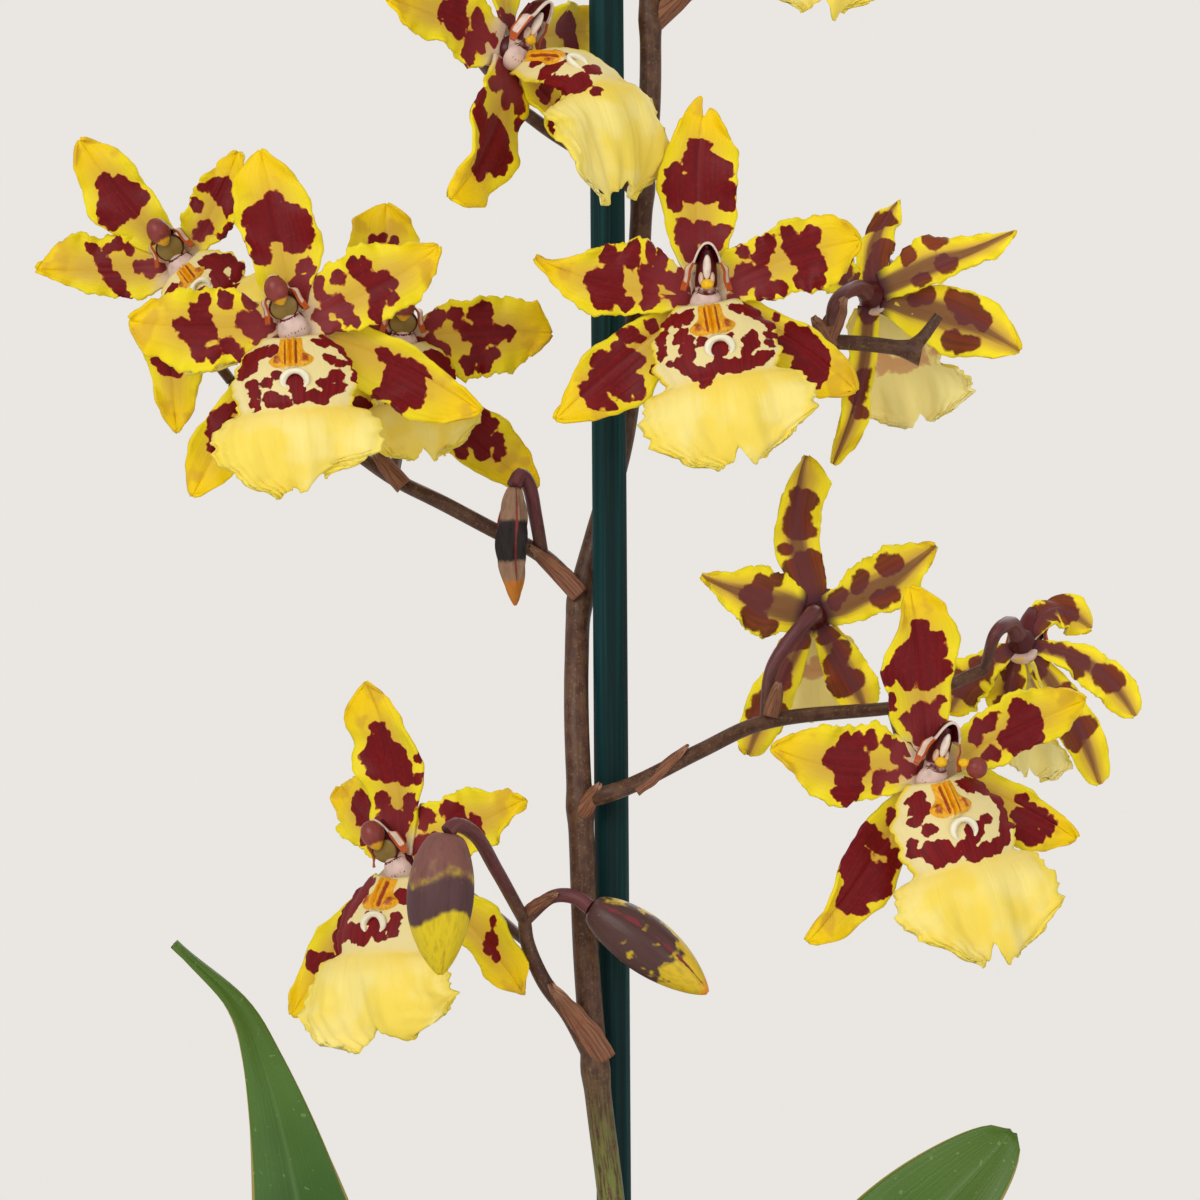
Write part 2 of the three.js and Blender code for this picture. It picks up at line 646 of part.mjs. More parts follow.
const BUDS = {
  bud_near: {
    from: [[-17, -13, 375], [-21.8, -24, 384.6], [-25.6, -33, 391.4], [-28.8, -37.6, 393]],
    path: [[-30, -38.4, 391.6], [-30.6, -38.6, 385], [-30.8, -39, 376], [-29.6, -39.5, 364.8]],
    radii: [1.7, 5.6, 6.2, 0.8],
    colour: COLOURS.bud,
  },
  bud_low: {
    from: [[-17, -13, 375], [-12, -15, 379.4], [-8, -16.4, 379.4]],
    path: [[-5.2, -17, 377.6], [0.4, -17.5, 374], [7, -18, 369.2], [15.4, -19, 362.6]],
    radii: [1.6, 5.2, 5.1, 0.7],
    colour: COLOURS.bud,
  },
  bud_dried: {
    from: [[-14, 3, 440], [-15.2, 0, 447], [-16.4, -2.6, 452.6], [-17.8, -4.2, 454.4]],
    path: [[-19, -5.4, 452.2], [-19.3, -5, 446], [-19.4, -5, 440], [-18.8, -5.4, 431]],
    radii: [1.2, 3, 3.3, 0.5],
    colour: COLOURS.driedBud,
  },
  bud_top_1: {
    from: [[7, 1, 615], [9.5, 0, 618.5]],
    path: [[10.2, -0.4, 619.4], [14, -2, 621], [18, -3, 621], [23, -4, 618]],
    radii: [1.2, 3.6, 3.4, 0.5],
    colour: COLOURS.bud,
  },
  bud_top_2: {
    from: [[4.6, 2.2, 606], [1.6, -1, 609], [-1, -3, 612.6]],
    path: [[-1.6, -3.6, 613.4], [-4, -5, 617], [-6, -6, 621], [-8, -7, 626]],
    radii: [1.1, 3.2, 3.2, 0.5],
    colour: COLOURS.bud,
  },
  bud_top_3: {
    from: [[3, 3.4, 596], [9, 0, 597], [15, -3, 599]],
    path: [[15.8, -3.4, 599.3], [20, -5.5, 600.4], [25, -7.5, 600], [31, -9.5, 596.5]],
    radii: [1.2, 4.1, 4, 0.6],
    colour: COLOURS.bud,
  },
};

function bud({ path, radii }) {
  return limb(path, radii, 7, 6);
}

// Pseudobulbs with the creeping stem that joins them and a few thick roots, grown as one piece.

const BULBS = [
  { foot: [-31, 17, 96], radii: [16, 9, 36] },
  { foot: [0, 22, 96], radii: [17, 9.5, 40] },
  { foot: [31, 17, 96], radii: [15.5, 9, 37] },
];

const ROOTS = [
  [[-30, 14, 101], [-40, 2, 107.5], [-46, -14, 106], [-47, -22, 96]],
  [[24, 14, 101], [27, 0, 108], [34, -18, 106], [36, -26, 96]],
  [[-6, 24, 101], [-14, 36, 108], [-24, 44, 105], [-27, 47, 96]],
];

function bulbSolid({ foot, radii }, extra) {
  const centre = vec(foot).add(new THREE.Vector3(0, 0, radii[2] * 0.62));
  return ball(centre, radii.map((r) => r + extra), 11, 7);
}

const RHIZOME = [
  [-40, 17, 101],
  [-16, 19.5, 102],
  [0, 22, 102],
  [16, 19.5, 102],
  [38, 16, 101],
];

function rhizome(extra) {
  return limb(RHIZOME, RHIZOME.map(() => 4.2 + extra), 6, 7);
}

function pseudobulbs() {
  const roots = ROOTS.map((path) => limb(path, path.map(() => 1.7), 6, 5));
  return join([rhizome(0), ...BULBS.map((bulb) => bulbSolid(bulb, 0)), ...roots]);
}

// Strap leaves in two ranks from the tops and the sides of the bulbs.

const LEAVES = {
  leaf_left_tall: {
    path: [[-38, 14, 152], [-46, 6, 240], [-58, 0, 323], [-64.4, -1, 349], [-68.6, -1, 358.5], [-80, -4, 370.3]],
    width: 43,
    taper: 1.75,
    facing: [0.2, -1, 0.2],
  },
  leaf_left_rear: {
    path: [[-24.5, 20, 154.6], [-37, 36, 235], [-56, 58, 284], [-90, 84, 290]],
    width: 33,
    taper: 0.6,
    facing: [0.3, -0.8, 0.6],
  },
  leaf_centre_left: {
    path: [[-5.5, 27, 160.6], [-1, 48, 240], [8, 74, 288], [30, 106, 294]],
    width: 34,
    taper: 0.6,
    facing: [0, -1, 0.5],
  },
  leaf_centre_right: {
    path: [[6, 17.5, 160.6], [22, 30, 226], [46, 48, 270], [88, 74, 276]],
    width: 33,
    taper: 0.6,
    facing: [-0.4, -0.7, 0.7],
  },
  leaf_right_tall: {
    path: [[26, 15, 156.6], [28, 3, 240], [44, -2, 305], [70, -8, 337]],
    width: 36,
    taper: 0.5,
    facing: [-0.3, -1, 0.35],
  },
  leaf_right_rear: {
    path: [[35.5, 16, 156.6], [64, 8, 214], [92, 2, 250], [136, -10, 246]],
    width: 32,
    taper: 0.6,
    facing: [-0.5, -0.5, 0.8],
  },
  leaf_left_low: {
    path: [[-56, 16, 112], [-70, 10, 176], [-94, 0, 222], [-138, -18, 232]],
    width: 31,
    taper: 0.6,
    facing: [0.6, -0.5, 0.7],
  },
  leaf_right_low: {
    path: [[54, 18, 112], [64, 30, 160], [84, 48, 196], [124, 72, 196]],
    width: 28,
    taper: 0.6,
    facing: [-0.5, -0.4, 0.8],
  },
};

// Folded and narrow at the foot, broad in the middle, drawn to a point by the taper.
function leafHalfWidth(v, width, taper) {
  const broad = THREE.MathUtils.smoothstep(v, -0.05, 0.5);
  const point = Math.max(1 - v ** 3.1, 0) ** taper;
  return (width / 2) * (0.3 + 0.7 * broad) * point + 0.6;
}

function leaf({ path, width, taper, facing }) {
  const curve = new THREE.CatmullRomCurve3(path.map(vec), false, "centripetal");
  const front = vec(facing).normalize();
  const surface = (u, v) => {
    const at = THREE.MathUtils.clamp(v, 0, 1);
    const along = curve.getTangentAt(at);
    const out = squareTo(front, along);
    const across = along.clone().cross(out);
    const half = leafHalfWidth(at, width, taper);
    const fold = 0.9 * (1 - at) ** 2 + 0.22;
    const wave = 0.7 * u * u * Math.sin(9 * at + 2 * u);
    return curve
      .getPointAt(at)
      .addScaledVector(along, (v - at) * 10)
      .addScaledVector(across, u * half)
      .addScaledVector(out, fold * half * Math.abs(u) + wave);
  };
  return sheet(surface, LEAF.rows, LEAF.columns, LEAF.thickness);
}

// Pot, bark, stake and clips

function potProfile() {
  const { height, baseRadius, shoulderRadius, rimRadius, rimHeight, wall, floor } = POT;
  const shoulder = height - rimHeight;
  return [
    [0, 0],
    [baseRadius - 1.5, 0],
    [baseRadius, 1.5],
    [shoulderRadius, shoulder - 1.5],
    [rimRadius, shoulder + 1],
    [rimRadius, height - 1.5],
    [rimRadius - 1.5, height],
    [rimRadius - wall + 1, height],
    [rimRadius - wall, height - 1],
    [innerRadius(shoulder), shoulder - 2],
    [innerRadius(floor), floor],
    [0, floor],
  ].map(([r, z]) => new THREE.Vector2(r, z));
}

// Radius of the inside wall at a height.
function innerRadius(z) {
  const { height, baseRadius, shoulderRadius, rimHeight, wall } = POT;
  return baseRadius + ((shoulderRadius - baseRadius) * z) / (height - rimHeight) - wall;
}

function lathe(profile, sides) {
  const geometry = new THREE.LatheGeometry(profile, sides);
  geometry.rotateX(Math.PI / 2);
  return solidOf(geometry);
}

// Small seeded random numbers, so that the bark is the same each time.
function randomFrom(seed) {
  let state = seed;
  return () => {
    state = (state * 1664525 + 1013904223) % 4294967296;
    return state / 4294967296;
  };
}

function barkChips() {
  const random = randomFrom(7);
  const chips = [];
  for (let k = 0; k < BARK.chips; k += 1) {
    const reach = innerRadius(BARK.top) - 9;
    const radius = reach * Math.sqrt(random());
    const angle = 2 * Math.PI * random();
    const scale = 0.75 + 0.6 * random();
    const chip = new THREE.BoxGeometry(...BARK.chipSize.map((side) => side * scale));
    chip.rotateX(0.5 * (random() - 0.5));
    chip.rotateY(0.7 * (random() - 0.5));
    chip.rotateZ(2 * Math.PI * random());
    chip.translate(radius * Math.cos(angle), radius * Math.sin(angle), BARK.top + 0.5 + 1.6 * random());
    chips.push(solidOf(chip));
  }
  return chips;
}

function hole(x, y, from, radius) {
  return wasm.Manifold.cylinder(POT.height + 30 - from, radius, radius, 12).translate(x, y, from);
}

function bark() {
  const bottom = POT.floor + GAP;
  const mass = lathe(
    [
      [0, bottom],
      [innerRadius(bottom) - GAP, bottom],
      [innerRadius(BARK.top) - GAP - 0.3, BARK.top],
      [0, BARK.top],
    ].map(([r, z]) => new THREE.Vector2(r, z)),
    36,
  );
  const pits = [
    hole(0.6, 0, 10, STAKE.radius + 0.8),
    hole(11.8, -13, 84, 3.8),
    rhizome(0.6),
    ...BULBS.map((bulb) => bulbSolid(bulb, 0.6)),
    ...ROOTS.map((path) => limb(path, path.map(() => 2.4), 6, 5)),
    ...ROOTS.map((path) => hole(path[3][0], path[3][1], path[3][2] - 2, 3)),
  ];
  return join([mass, ...barkChips()], 0.16).subtract(unite(pits)).simplify(0.16);
}

function stake() {
  return limb([STAKE.bottom, STAKE.top], [STAKE.radius, STAKE.radius], 1, STAKE.sides);
}

// A clip is a C-shaped band that holds stem and stake together.
function clip(z) {
  const share = (z - STAKE.bottom[2]) / (STAKE.top[2] - STAKE.bottom[2]);
  const pole = vec(STAKE.bottom).lerp(vec(STAKE.top), share);
  const curve = new THREE.CatmullRomCurve3(STEM.map((p) => vec(p)), false, "centripetal");
  let stem = vec(STEM[0]);
  for (let k = 0; k <= 400; k += 1) {
    const point = curve.getPoint(k / 400);
    if (Math.abs(point.z - z) < Math.abs(stem.z - z)) stem = point;
  }
  const rods = (height, extra) => [
    wasm.Manifold.cylinder(height, STAKE.radius + extra, STAKE.radius + extra, 14, true).translate(pole.x, pole.y, z),
    wasm.Manifold.cylinder(height, 2.6 + extra, 2.6 + extra, 14, true).translate(stem.x, stem.y, z),
  ];
  return wasm.Manifold.hull(rods(6, 1.5)).subtract(unite(rods(10, 0.4)));
}

// The finished object

function mesh(name, solid, colour, roughness) {
  const material = new THREE.MeshStandardMaterial({ color: colour, roughness, metalness: 0 });
  const made = new THREE.Mesh(geometryOf(solid), material);
  made.name = name;
  return made;
}

const orchid = new THREE.Group();
orchid.name = "potted_cambria_orchid";
orchid.add(mesh("planter", lathe(potProfile(), POT.sides), COLOURS.glaze, 0.35));
orchid.add(mesh("potting_bark", bark(), COLOURS.bark, 0.95));
orchid.add(mesh("pseudobulbs", pseudobulbs(), COLOURS.bulb, 0.5));
orchid.add(mesh("stake", stake(), COLOURS.stake, 0.6));
orchid.add(mesh("stem_clip", clip(282), COLOURS.clip, 0.45));
orchid.add(mesh("flower_spike", spike(), COLOURS.stem, 0.6));
for (const [name, shape] of Object.entries(LEAVES)) {
  orchid.add(mesh(name, leaf(shape), COLOURS.leaf, 0.45));
}
for (const [name, shape] of Object.entries(BUDS)) {
  orchid.add(mesh(name, bud(shape), shape.colour, 0.55));
}
for (const [name, bloom] of Object.entries(BLOOMS)) {
  orchid.add(mesh(name + "_tepals", tepalsOf(bloom), COLOURS.tepal, 0.5));
  orchid.add(mesh(name + "_lip", lip(bloom), COLOURS.lip, 0.5));
}

export default orchid;
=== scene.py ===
"""Potted cambria orchid: the visual model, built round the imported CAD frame.

A round glazed pot of bark holds three pseudobulbs with strap leaves and one branching flower spike,
clipped to a green stake, with twelve spotted yellow blooms and six buds. The frame is the CAD's: +Z up,
the viewer on the -Y side and the origin at the middle of the flat base of the pot. Sizes are kept in
millimetres, as a grower would measure them, and become metres when a mesh is made.
"""

from __future__ import annotations

import logging
import math
import random
from collections.abc import Callable, Sequence
from dataclasses import dataclass, field
from enum import Enum

import bmesh
import bpy
import numpy as np
from mathutils import Matrix, Vector, noise


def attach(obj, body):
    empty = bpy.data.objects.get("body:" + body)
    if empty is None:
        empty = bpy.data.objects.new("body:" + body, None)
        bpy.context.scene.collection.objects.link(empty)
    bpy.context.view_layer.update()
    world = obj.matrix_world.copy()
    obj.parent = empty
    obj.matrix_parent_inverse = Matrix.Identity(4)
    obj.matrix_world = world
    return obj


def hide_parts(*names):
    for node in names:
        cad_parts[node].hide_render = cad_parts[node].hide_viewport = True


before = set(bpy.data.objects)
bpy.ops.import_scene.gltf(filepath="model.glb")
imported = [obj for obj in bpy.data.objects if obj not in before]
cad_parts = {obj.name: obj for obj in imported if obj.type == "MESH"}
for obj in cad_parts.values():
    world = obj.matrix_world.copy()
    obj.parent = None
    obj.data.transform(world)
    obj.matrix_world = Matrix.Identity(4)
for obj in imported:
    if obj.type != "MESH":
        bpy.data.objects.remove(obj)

MM = 0.001

# Faces across and along each kind of sheet.
TEPAL_GRID, LIP_GRID, PAD_GRID = (24, 54), (64, 64), (44, 24)
HOOD_GRID, BRACT_GRID, LEAF_GRID = (64, 14), (20, 28), (22, 130)
# Thickness of each kind of sheet, in millimetres.
TEPAL_WALL, LIP_WALL, HOOD_WALL, BRACT_WALL, LEAF_WALL = 0.6, 0.55, 0.34, 0.4, 1.1

Array = np.ndarray
Point = tuple[float, float, float]
Marks = tuple[tuple[float, float, float], ...]
Shape = Callable[[Array, Array], Array]
Paint = Callable[[Array, Array], tuple[Array, Array]]
Lay = Callable[[Array], Array]
Material = bpy.types.Material
Socket = bpy.types.NodeSocket
log = logging.getLogger("orchid")


# Directions and curves


def unit(rows: Array) -> Array:
    """Rows, or one vector, scaled to length one."""
    return rows / np.linalg.norm(rows, axis=-1, keepdims=True)


def square_to(direction: Array, axis: Array) -> Array:
    """The part of a direction that stands square to an axis, at length one."""
    return unit(direction - axis * np.sum(direction * axis, axis=-1, keepdims=True))


def ramp(x: Array, low: float, high: float) -> Array:
    """A smooth step from 0 at low to 1 at high."""
    t = np.clip((x - low) / (high - low), 0.0, 1.0)
    return t * t * (3.0 - 2.0 * t)


def stepped(stops: Sequence[tuple[float, float]], v: Array) -> Array:
    """Smooth steps from one stop to the next.

    Args:
        stops: pairs of place and value, in order.
        v: the places asked for.

    Returns:
        The value at each place.
    """
    places = np.array([s[0] for s in stops])
    values = np.array([s[1] for s in stops])
    k = np.clip(np.searchsorted(places, v, side="left") - 1, 0, len(places) - 2)
    t = np.clip((v - places[k]) / (places[k + 1] - places[k]), 0.0, 1.0)
    return values[k] + (values[k + 1] - values[k]) * t * t * (3.0 - 2.0 * t)


def bell(x: Array, width: object) -> Array:
    """A smooth hump: 1 where x is 0, fading on both sides over a width."""
    return np.exp(-((x / width) ** 2))


def rows(first: Array, second: object = 0.0, third: object = 0.0) -> Array:
    """Three values side by side for each vertex. The first sets how many rows there are."""
    return np.stack(np.broadcast_arrays(first, second, third), 1)


def bare(u: Array, v: Array) -> tuple[Array, Array]:
    """The blade and tint attributes of a sheet without blotches or tint."""
    return rows(u, v), np.zeros((len(u), 3))


def facing_of(yaw: float, pitch: float) -> Array:
    """A facing direction: yaw 0 looks at the viewer, positive yaw to the viewer's right, positive pitch up."""
    a, b = math.radians(yaw), math.radians(pitch)
    return np.array([math.sin(a) * math.cos(b), -math.cos(a) * math.cos(b), math.sin(b)])


def turned_in(x: Array, y: Array, z: Array, origin: Array) -> Lay:
    """A map from local millimetres on three axes to the frame."""
    basis = np.stack([x, y, z])
    return lambda local: origin + local @ basis


@dataclass(frozen=True)
class Curve:
    """A smooth centripetal line through given points, walked by its length.

    Args:
        points: the points it goes through, in millimetres.
    """

    points: tuple[Point, ...]

    def _segment(self, t: Array) -> Array:
        """Places on the line at knot numbers t, which run from 0 to the number of points less one."""
        p = np.array(self.points, float)
        p = np.vstack([2 * p[0] - p[1], p, 2 * p[-1] - p[-2]])
        k = np.clip(np.floor(t).astype(int), 0, len(self.points) - 2)
        w = (t - k)[:, None]
        a, b, c, d = p[k], p[k + 1], p[k + 2], p[k + 3]
        gap = [np.sqrt(np.linalg.norm(y - x, axis=1))[:, None] for x, y in ((a, b), (b, c), (c, d))]
        start = (b - a) / gap[0] - (c - a) / (gap[0] + gap[1]) + (c - b) / gap[1]
        end = (c - b) / gap[1] - (d - b) / (gap[1] + gap[2]) + (d - c) / gap[2]
        start, end = start * gap[1], end * gap[1]
        cubic = 2 * b - 2 * c + start + end
        square = -3 * b + 3 * c - 2 * start - end
        return b + w * (start + w * (square + w * cubic))

    def at(self, share: Array) -> tuple[Array, Array, Array]:
        """Walks the line.

        Args:
            share: shares of the whole length, from 0 to 1.

        Returns:
            The places, the directions at length one, and the knot numbers.
        """
        last = len(self.points) - 1
        knots = np.linspace(0, last, 40 * last + 1)
        dense = self._segment(knots)
        walked = np.concatenate([[0.0], np.cumsum(np.linalg.norm(np.diff(dense, axis=0), axis=1))])
        t = np.interp(np.clip(share, 0, 1) * walked[-1], walked, knots)
        step = 1e-3
        ahead = self._segment(np.clip(t + step, 0, last))
        behind = self._segment(np.clip(t - step, 0, last))
        return self._segment(t), unit(ahead - behind), t

    def length(self) -> float:
        """Its length in millimetres."""
        dense = self._segment(np.linspace(0, len(self.points) - 1, 40 * len(self.points)))
        return float(np.sum(np.linalg.norm(np.diff(dense, axis=0), axis=1)))


@dataclass(frozen=True)
class Spine:
    """The middle line of a blade, from base to tip, with the way the blade faces.

    Args:
        base: where the blade starts.
        tip: where it ends.
        bow: offset of the middle of the line.
        facing: the way the blade faces.
        roll: turn about its own length, in degrees.
        twist: further turn at its base, in degrees, fading to none at the tip.
    """

    base: Array
    tip: Array
    bow: Array
    facing: Array
    roll: float = 0.0
    twist: float = 0.0

    def at(self, v: Array) -> tuple[Array, Array, Array]:
        """Place, direction across and direction out of the blade at shares v of its length."""
        w = v[:, None]
        middle = (self.base + self.tip) / 2 + 2 * self.bow
        point = (1 - w) ** 2 * self.base + 2 * (1 - w) * w * middle + w**2 * self.tip
        along = unit((1 - w) * (middle - self.base) + w * (self.tip - middle))
        out = square_to(np.broadcast_to(self.facing, along.shape), along)
        across = np.cross(along, out)
        turn = np.radians(self.roll + self.twist * (1 - np.clip(w, 0, 1)))
        c, s = np.cos(turn), np.sin(turn)
        return point, across * c + out * s, out * c - across * s


def mark_field(marks: Marks, u: Array, v: Array, half: Array, length: float) -> Array:
    """How far each place lies inside round marks on a blade, in millimetres, negative outside.

    Args:
        marks: place along, place across and radius in millimetres of each mark.
        u: places across, from -1 to 1.
        v: places along, from 0 to 1.
        half: half width of the blade at each place.
        length: length of the blade.

    Returns:
        The deepest value over all the marks.
    """
    depth = np.full(u.shape, -4.0)
    for along, across, radius in marks:
        gap = np.hypot((v - along) * length, (u - across) * half)
        depth = np.maximum(depth, radius - gap)
    return depth


# Meshes


class Form:
    """One piece while its mesh is made, with the two vector attributes that its finish reads.

    Args:
        name: name of the piece.
    """

    def __init__(self, name: str) -> None:
        """Starts a mesh with its two attributes."""
        self.name = name
        self.mesh = bmesh.new()
        self.blade = self.mesh.verts.layers.float_vector.new("blade")
        self.tint = self.mesh.verts.layers.float_vector.new("tint")

    def _dress(self, verts: list[bmesh.types.BMVert], places: Array, blade: Array, tint: Array) -> None:
        """Puts vertices in place, in millimetres, and writes their attributes."""
        for vert, place, a, b in zip(verts, (places * MM).tolist(), blade.tolist(), tint.tolist()):
            vert.co = place
            vert[self.blade] = a
            vert[self.tint] = b

    def _number(self, verts: list[bmesh.types.BMVert], material: int) -> None:
        """Gives the faces of these vertices a material slot."""
        for vert in verts:
            for face in vert.link_faces:
                face.material_index = material

    def sheet(self, shape: Shape, paint: Paint, columns: int, rows: int) -> None:
        """Adds a grid laid on a surface of u, -1 to 1 across, and v, 0 to 1 along.

        Args:
            shape: the surface, in millimetres.
            paint: the blade and tint attributes at each place.
            columns: faces across.
            rows: faces along.
        """
        made = bmesh.ops.create_grid(self.mesh, x_segments=columns, y_segments=rows, size=1.0)["verts"]
        flat = np.array([tuple(vert.co) for vert in made])
        u, v = flat[:, 0], (flat[:, 1] + 1) / 2
        blade, tint = paint(u, v)
        self._dress(made, shape(u, v), blade, tint)

    def tube(
        self,
        curve: Curve,
        radii: Sequence[float],
        rings: int,
        sides: int,
        swell: Shape | None = None,
        tint: Shape | None = None,
        material: int = 0,
    ) -> None:
        """Adds a closed round limb along a curve.

        Args:
            curve: its middle line.
            radii: its radius at each point of the curve.
            rings: faces along.
            sides: faces round.
            swell: factor on the radius, from the angle in radians and the share along.
            tint: the tint attribute, from the same two.
            material: material slot of its faces.
        """
        made = bmesh.ops.create_grid(self.mesh, x_segments=sides, y_segments=rings, size=1.0)["verts"]
        flat = np.array([tuple(vert.co) for vert in made])
        angle, v = flat[:, 0] * math.pi, (flat[:, 1] + 1) / 2
        levels = np.linspace(0, 1, rings + 1)
        _, ways, _ = curve.at(levels)
        side = square_to(np.array([0.31, -0.87, 0.38]), ways[0])
        sides_at = []
        for way in ways:
            side = square_to(side, way)
            sides_at.append(side)
        row = np.rint(v * rings).astype(int)
        centre, _, t = curve.at(v)
        first = np.array(sides_at)[row]
        second = np.cross(ways[row], first)
        radius = np.interp(t, np.arange(len(radii)), radii)
        if swell is not None:
            radius = radius * swell(angle, v)
        c, s = np.cos(angle)[:, None], np.sin(angle)[:, None]
        places = centre + radius[:, None] * (c * first + s * second)
        run = (v * curve.length())[:, None]
        blade = np.hstack([c * radius[:, None], s * radius[:, None], run])
        shade = np.zeros((len(v), 3)) if tint is None else tint(angle, v)
        self._dress(made, places, blade, shade)
        self._number(made, material)
        bmesh.ops.remove_doubles(self.mesh, verts=made, dist=2e-7)
        alive = [vert for vert in made if vert.is_valid]
        rims = {edge for vert in alive for edge in vert.link_edges if edge.is_boundary}
        filled = bmesh.ops.holes_fill(self.mesh, edges=list(rims), sides=0)["faces"]
        for face in filled:
            face.material_index = material

    def ball(self, shape: Lay, wide: int, high: int, tint: Lay | None = None, material: int = 0) -> None:
        """Adds a ball put in place by a formula.

        Args:
            shape: from rows on the unit ball to places in millimetres.
            wide: faces round.
            high: faces from pole to pole.
            tint: from the same rows to the tint attribute.
            material: material slot of its faces.
        """
        made = bmesh.ops.create_uvsphere(self.mesh, u_segments=wide, v_segments=high, radius=1.0)["verts"]
        flat = np.array([tuple(vert.co) for vert in made])
        shade = np.zeros(flat.shape) if tint is None else tint(flat)
        self._dress(made, shape(flat), flat, shade)
        self._number(made, material)

    def settle(
        self,
        materials: Sequence[Material],
        nodes: Sequence[str] = (),
        wall: float = 0.0,
        smooth: bool = True,
        angle: float = 60.0,
    ) -> None:
        """Turns the mesh into a piece of the object.

        Args:
            materials: its finishes, in the order of the material slots. With a wall, the second is its back.
            nodes: CAD nodes that it stands for.
            wall: thickness in millimetres, for a piece made of sheets.
            smooth: whether its faces are shaded round.
            angle: edges sharper than this many degrees stay sharp.
        """
        data = bpy.data.meshes.new(self.name)
        self.mesh.to_mesh(data)
        self.mesh.free()
        for material in materials:
            data.materials.append(material)
        if smooth:
            data.shade_smooth()
            data.set_sharp_from_angle(angle=math.radians(angle))
        piece = bpy.data.objects.new(self.name, data)
        bpy.context.scene.collection.objects.link(piece)
        if wall:
            solid = piece.modifiers.new("wall", "SOLIDIFY")
            solid.thickness = wall * MM
            solid.offset = 0.0
            solid.material_offset = 1
        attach(piece, "root")
        if nodes:
            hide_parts(*nodes)
        log.info("%s: %d faces", self.name, len(data.polygons))


# Finishes


def linear(text: str) -> tuple[float, float, float, float]:
    """An sRGB hex colour, such as "e8d21c", as linear values with full alpha."""
    shares = [int(text[k : k + 2], 16) / 255 for k in (0, 2, 4)]
    turned = [s / 12.92 if s <= 0.04045 else ((s + 0.055) / 1.055) ** 2.4 for s in shares]
    return (turned[0], turned[1], turned[2], 1.0)


def per_mm(size: float) -> float:
    """Scale of a texture on Object coordinates whose features are this many millimetres."""
    return 1.0 / (size * MM)


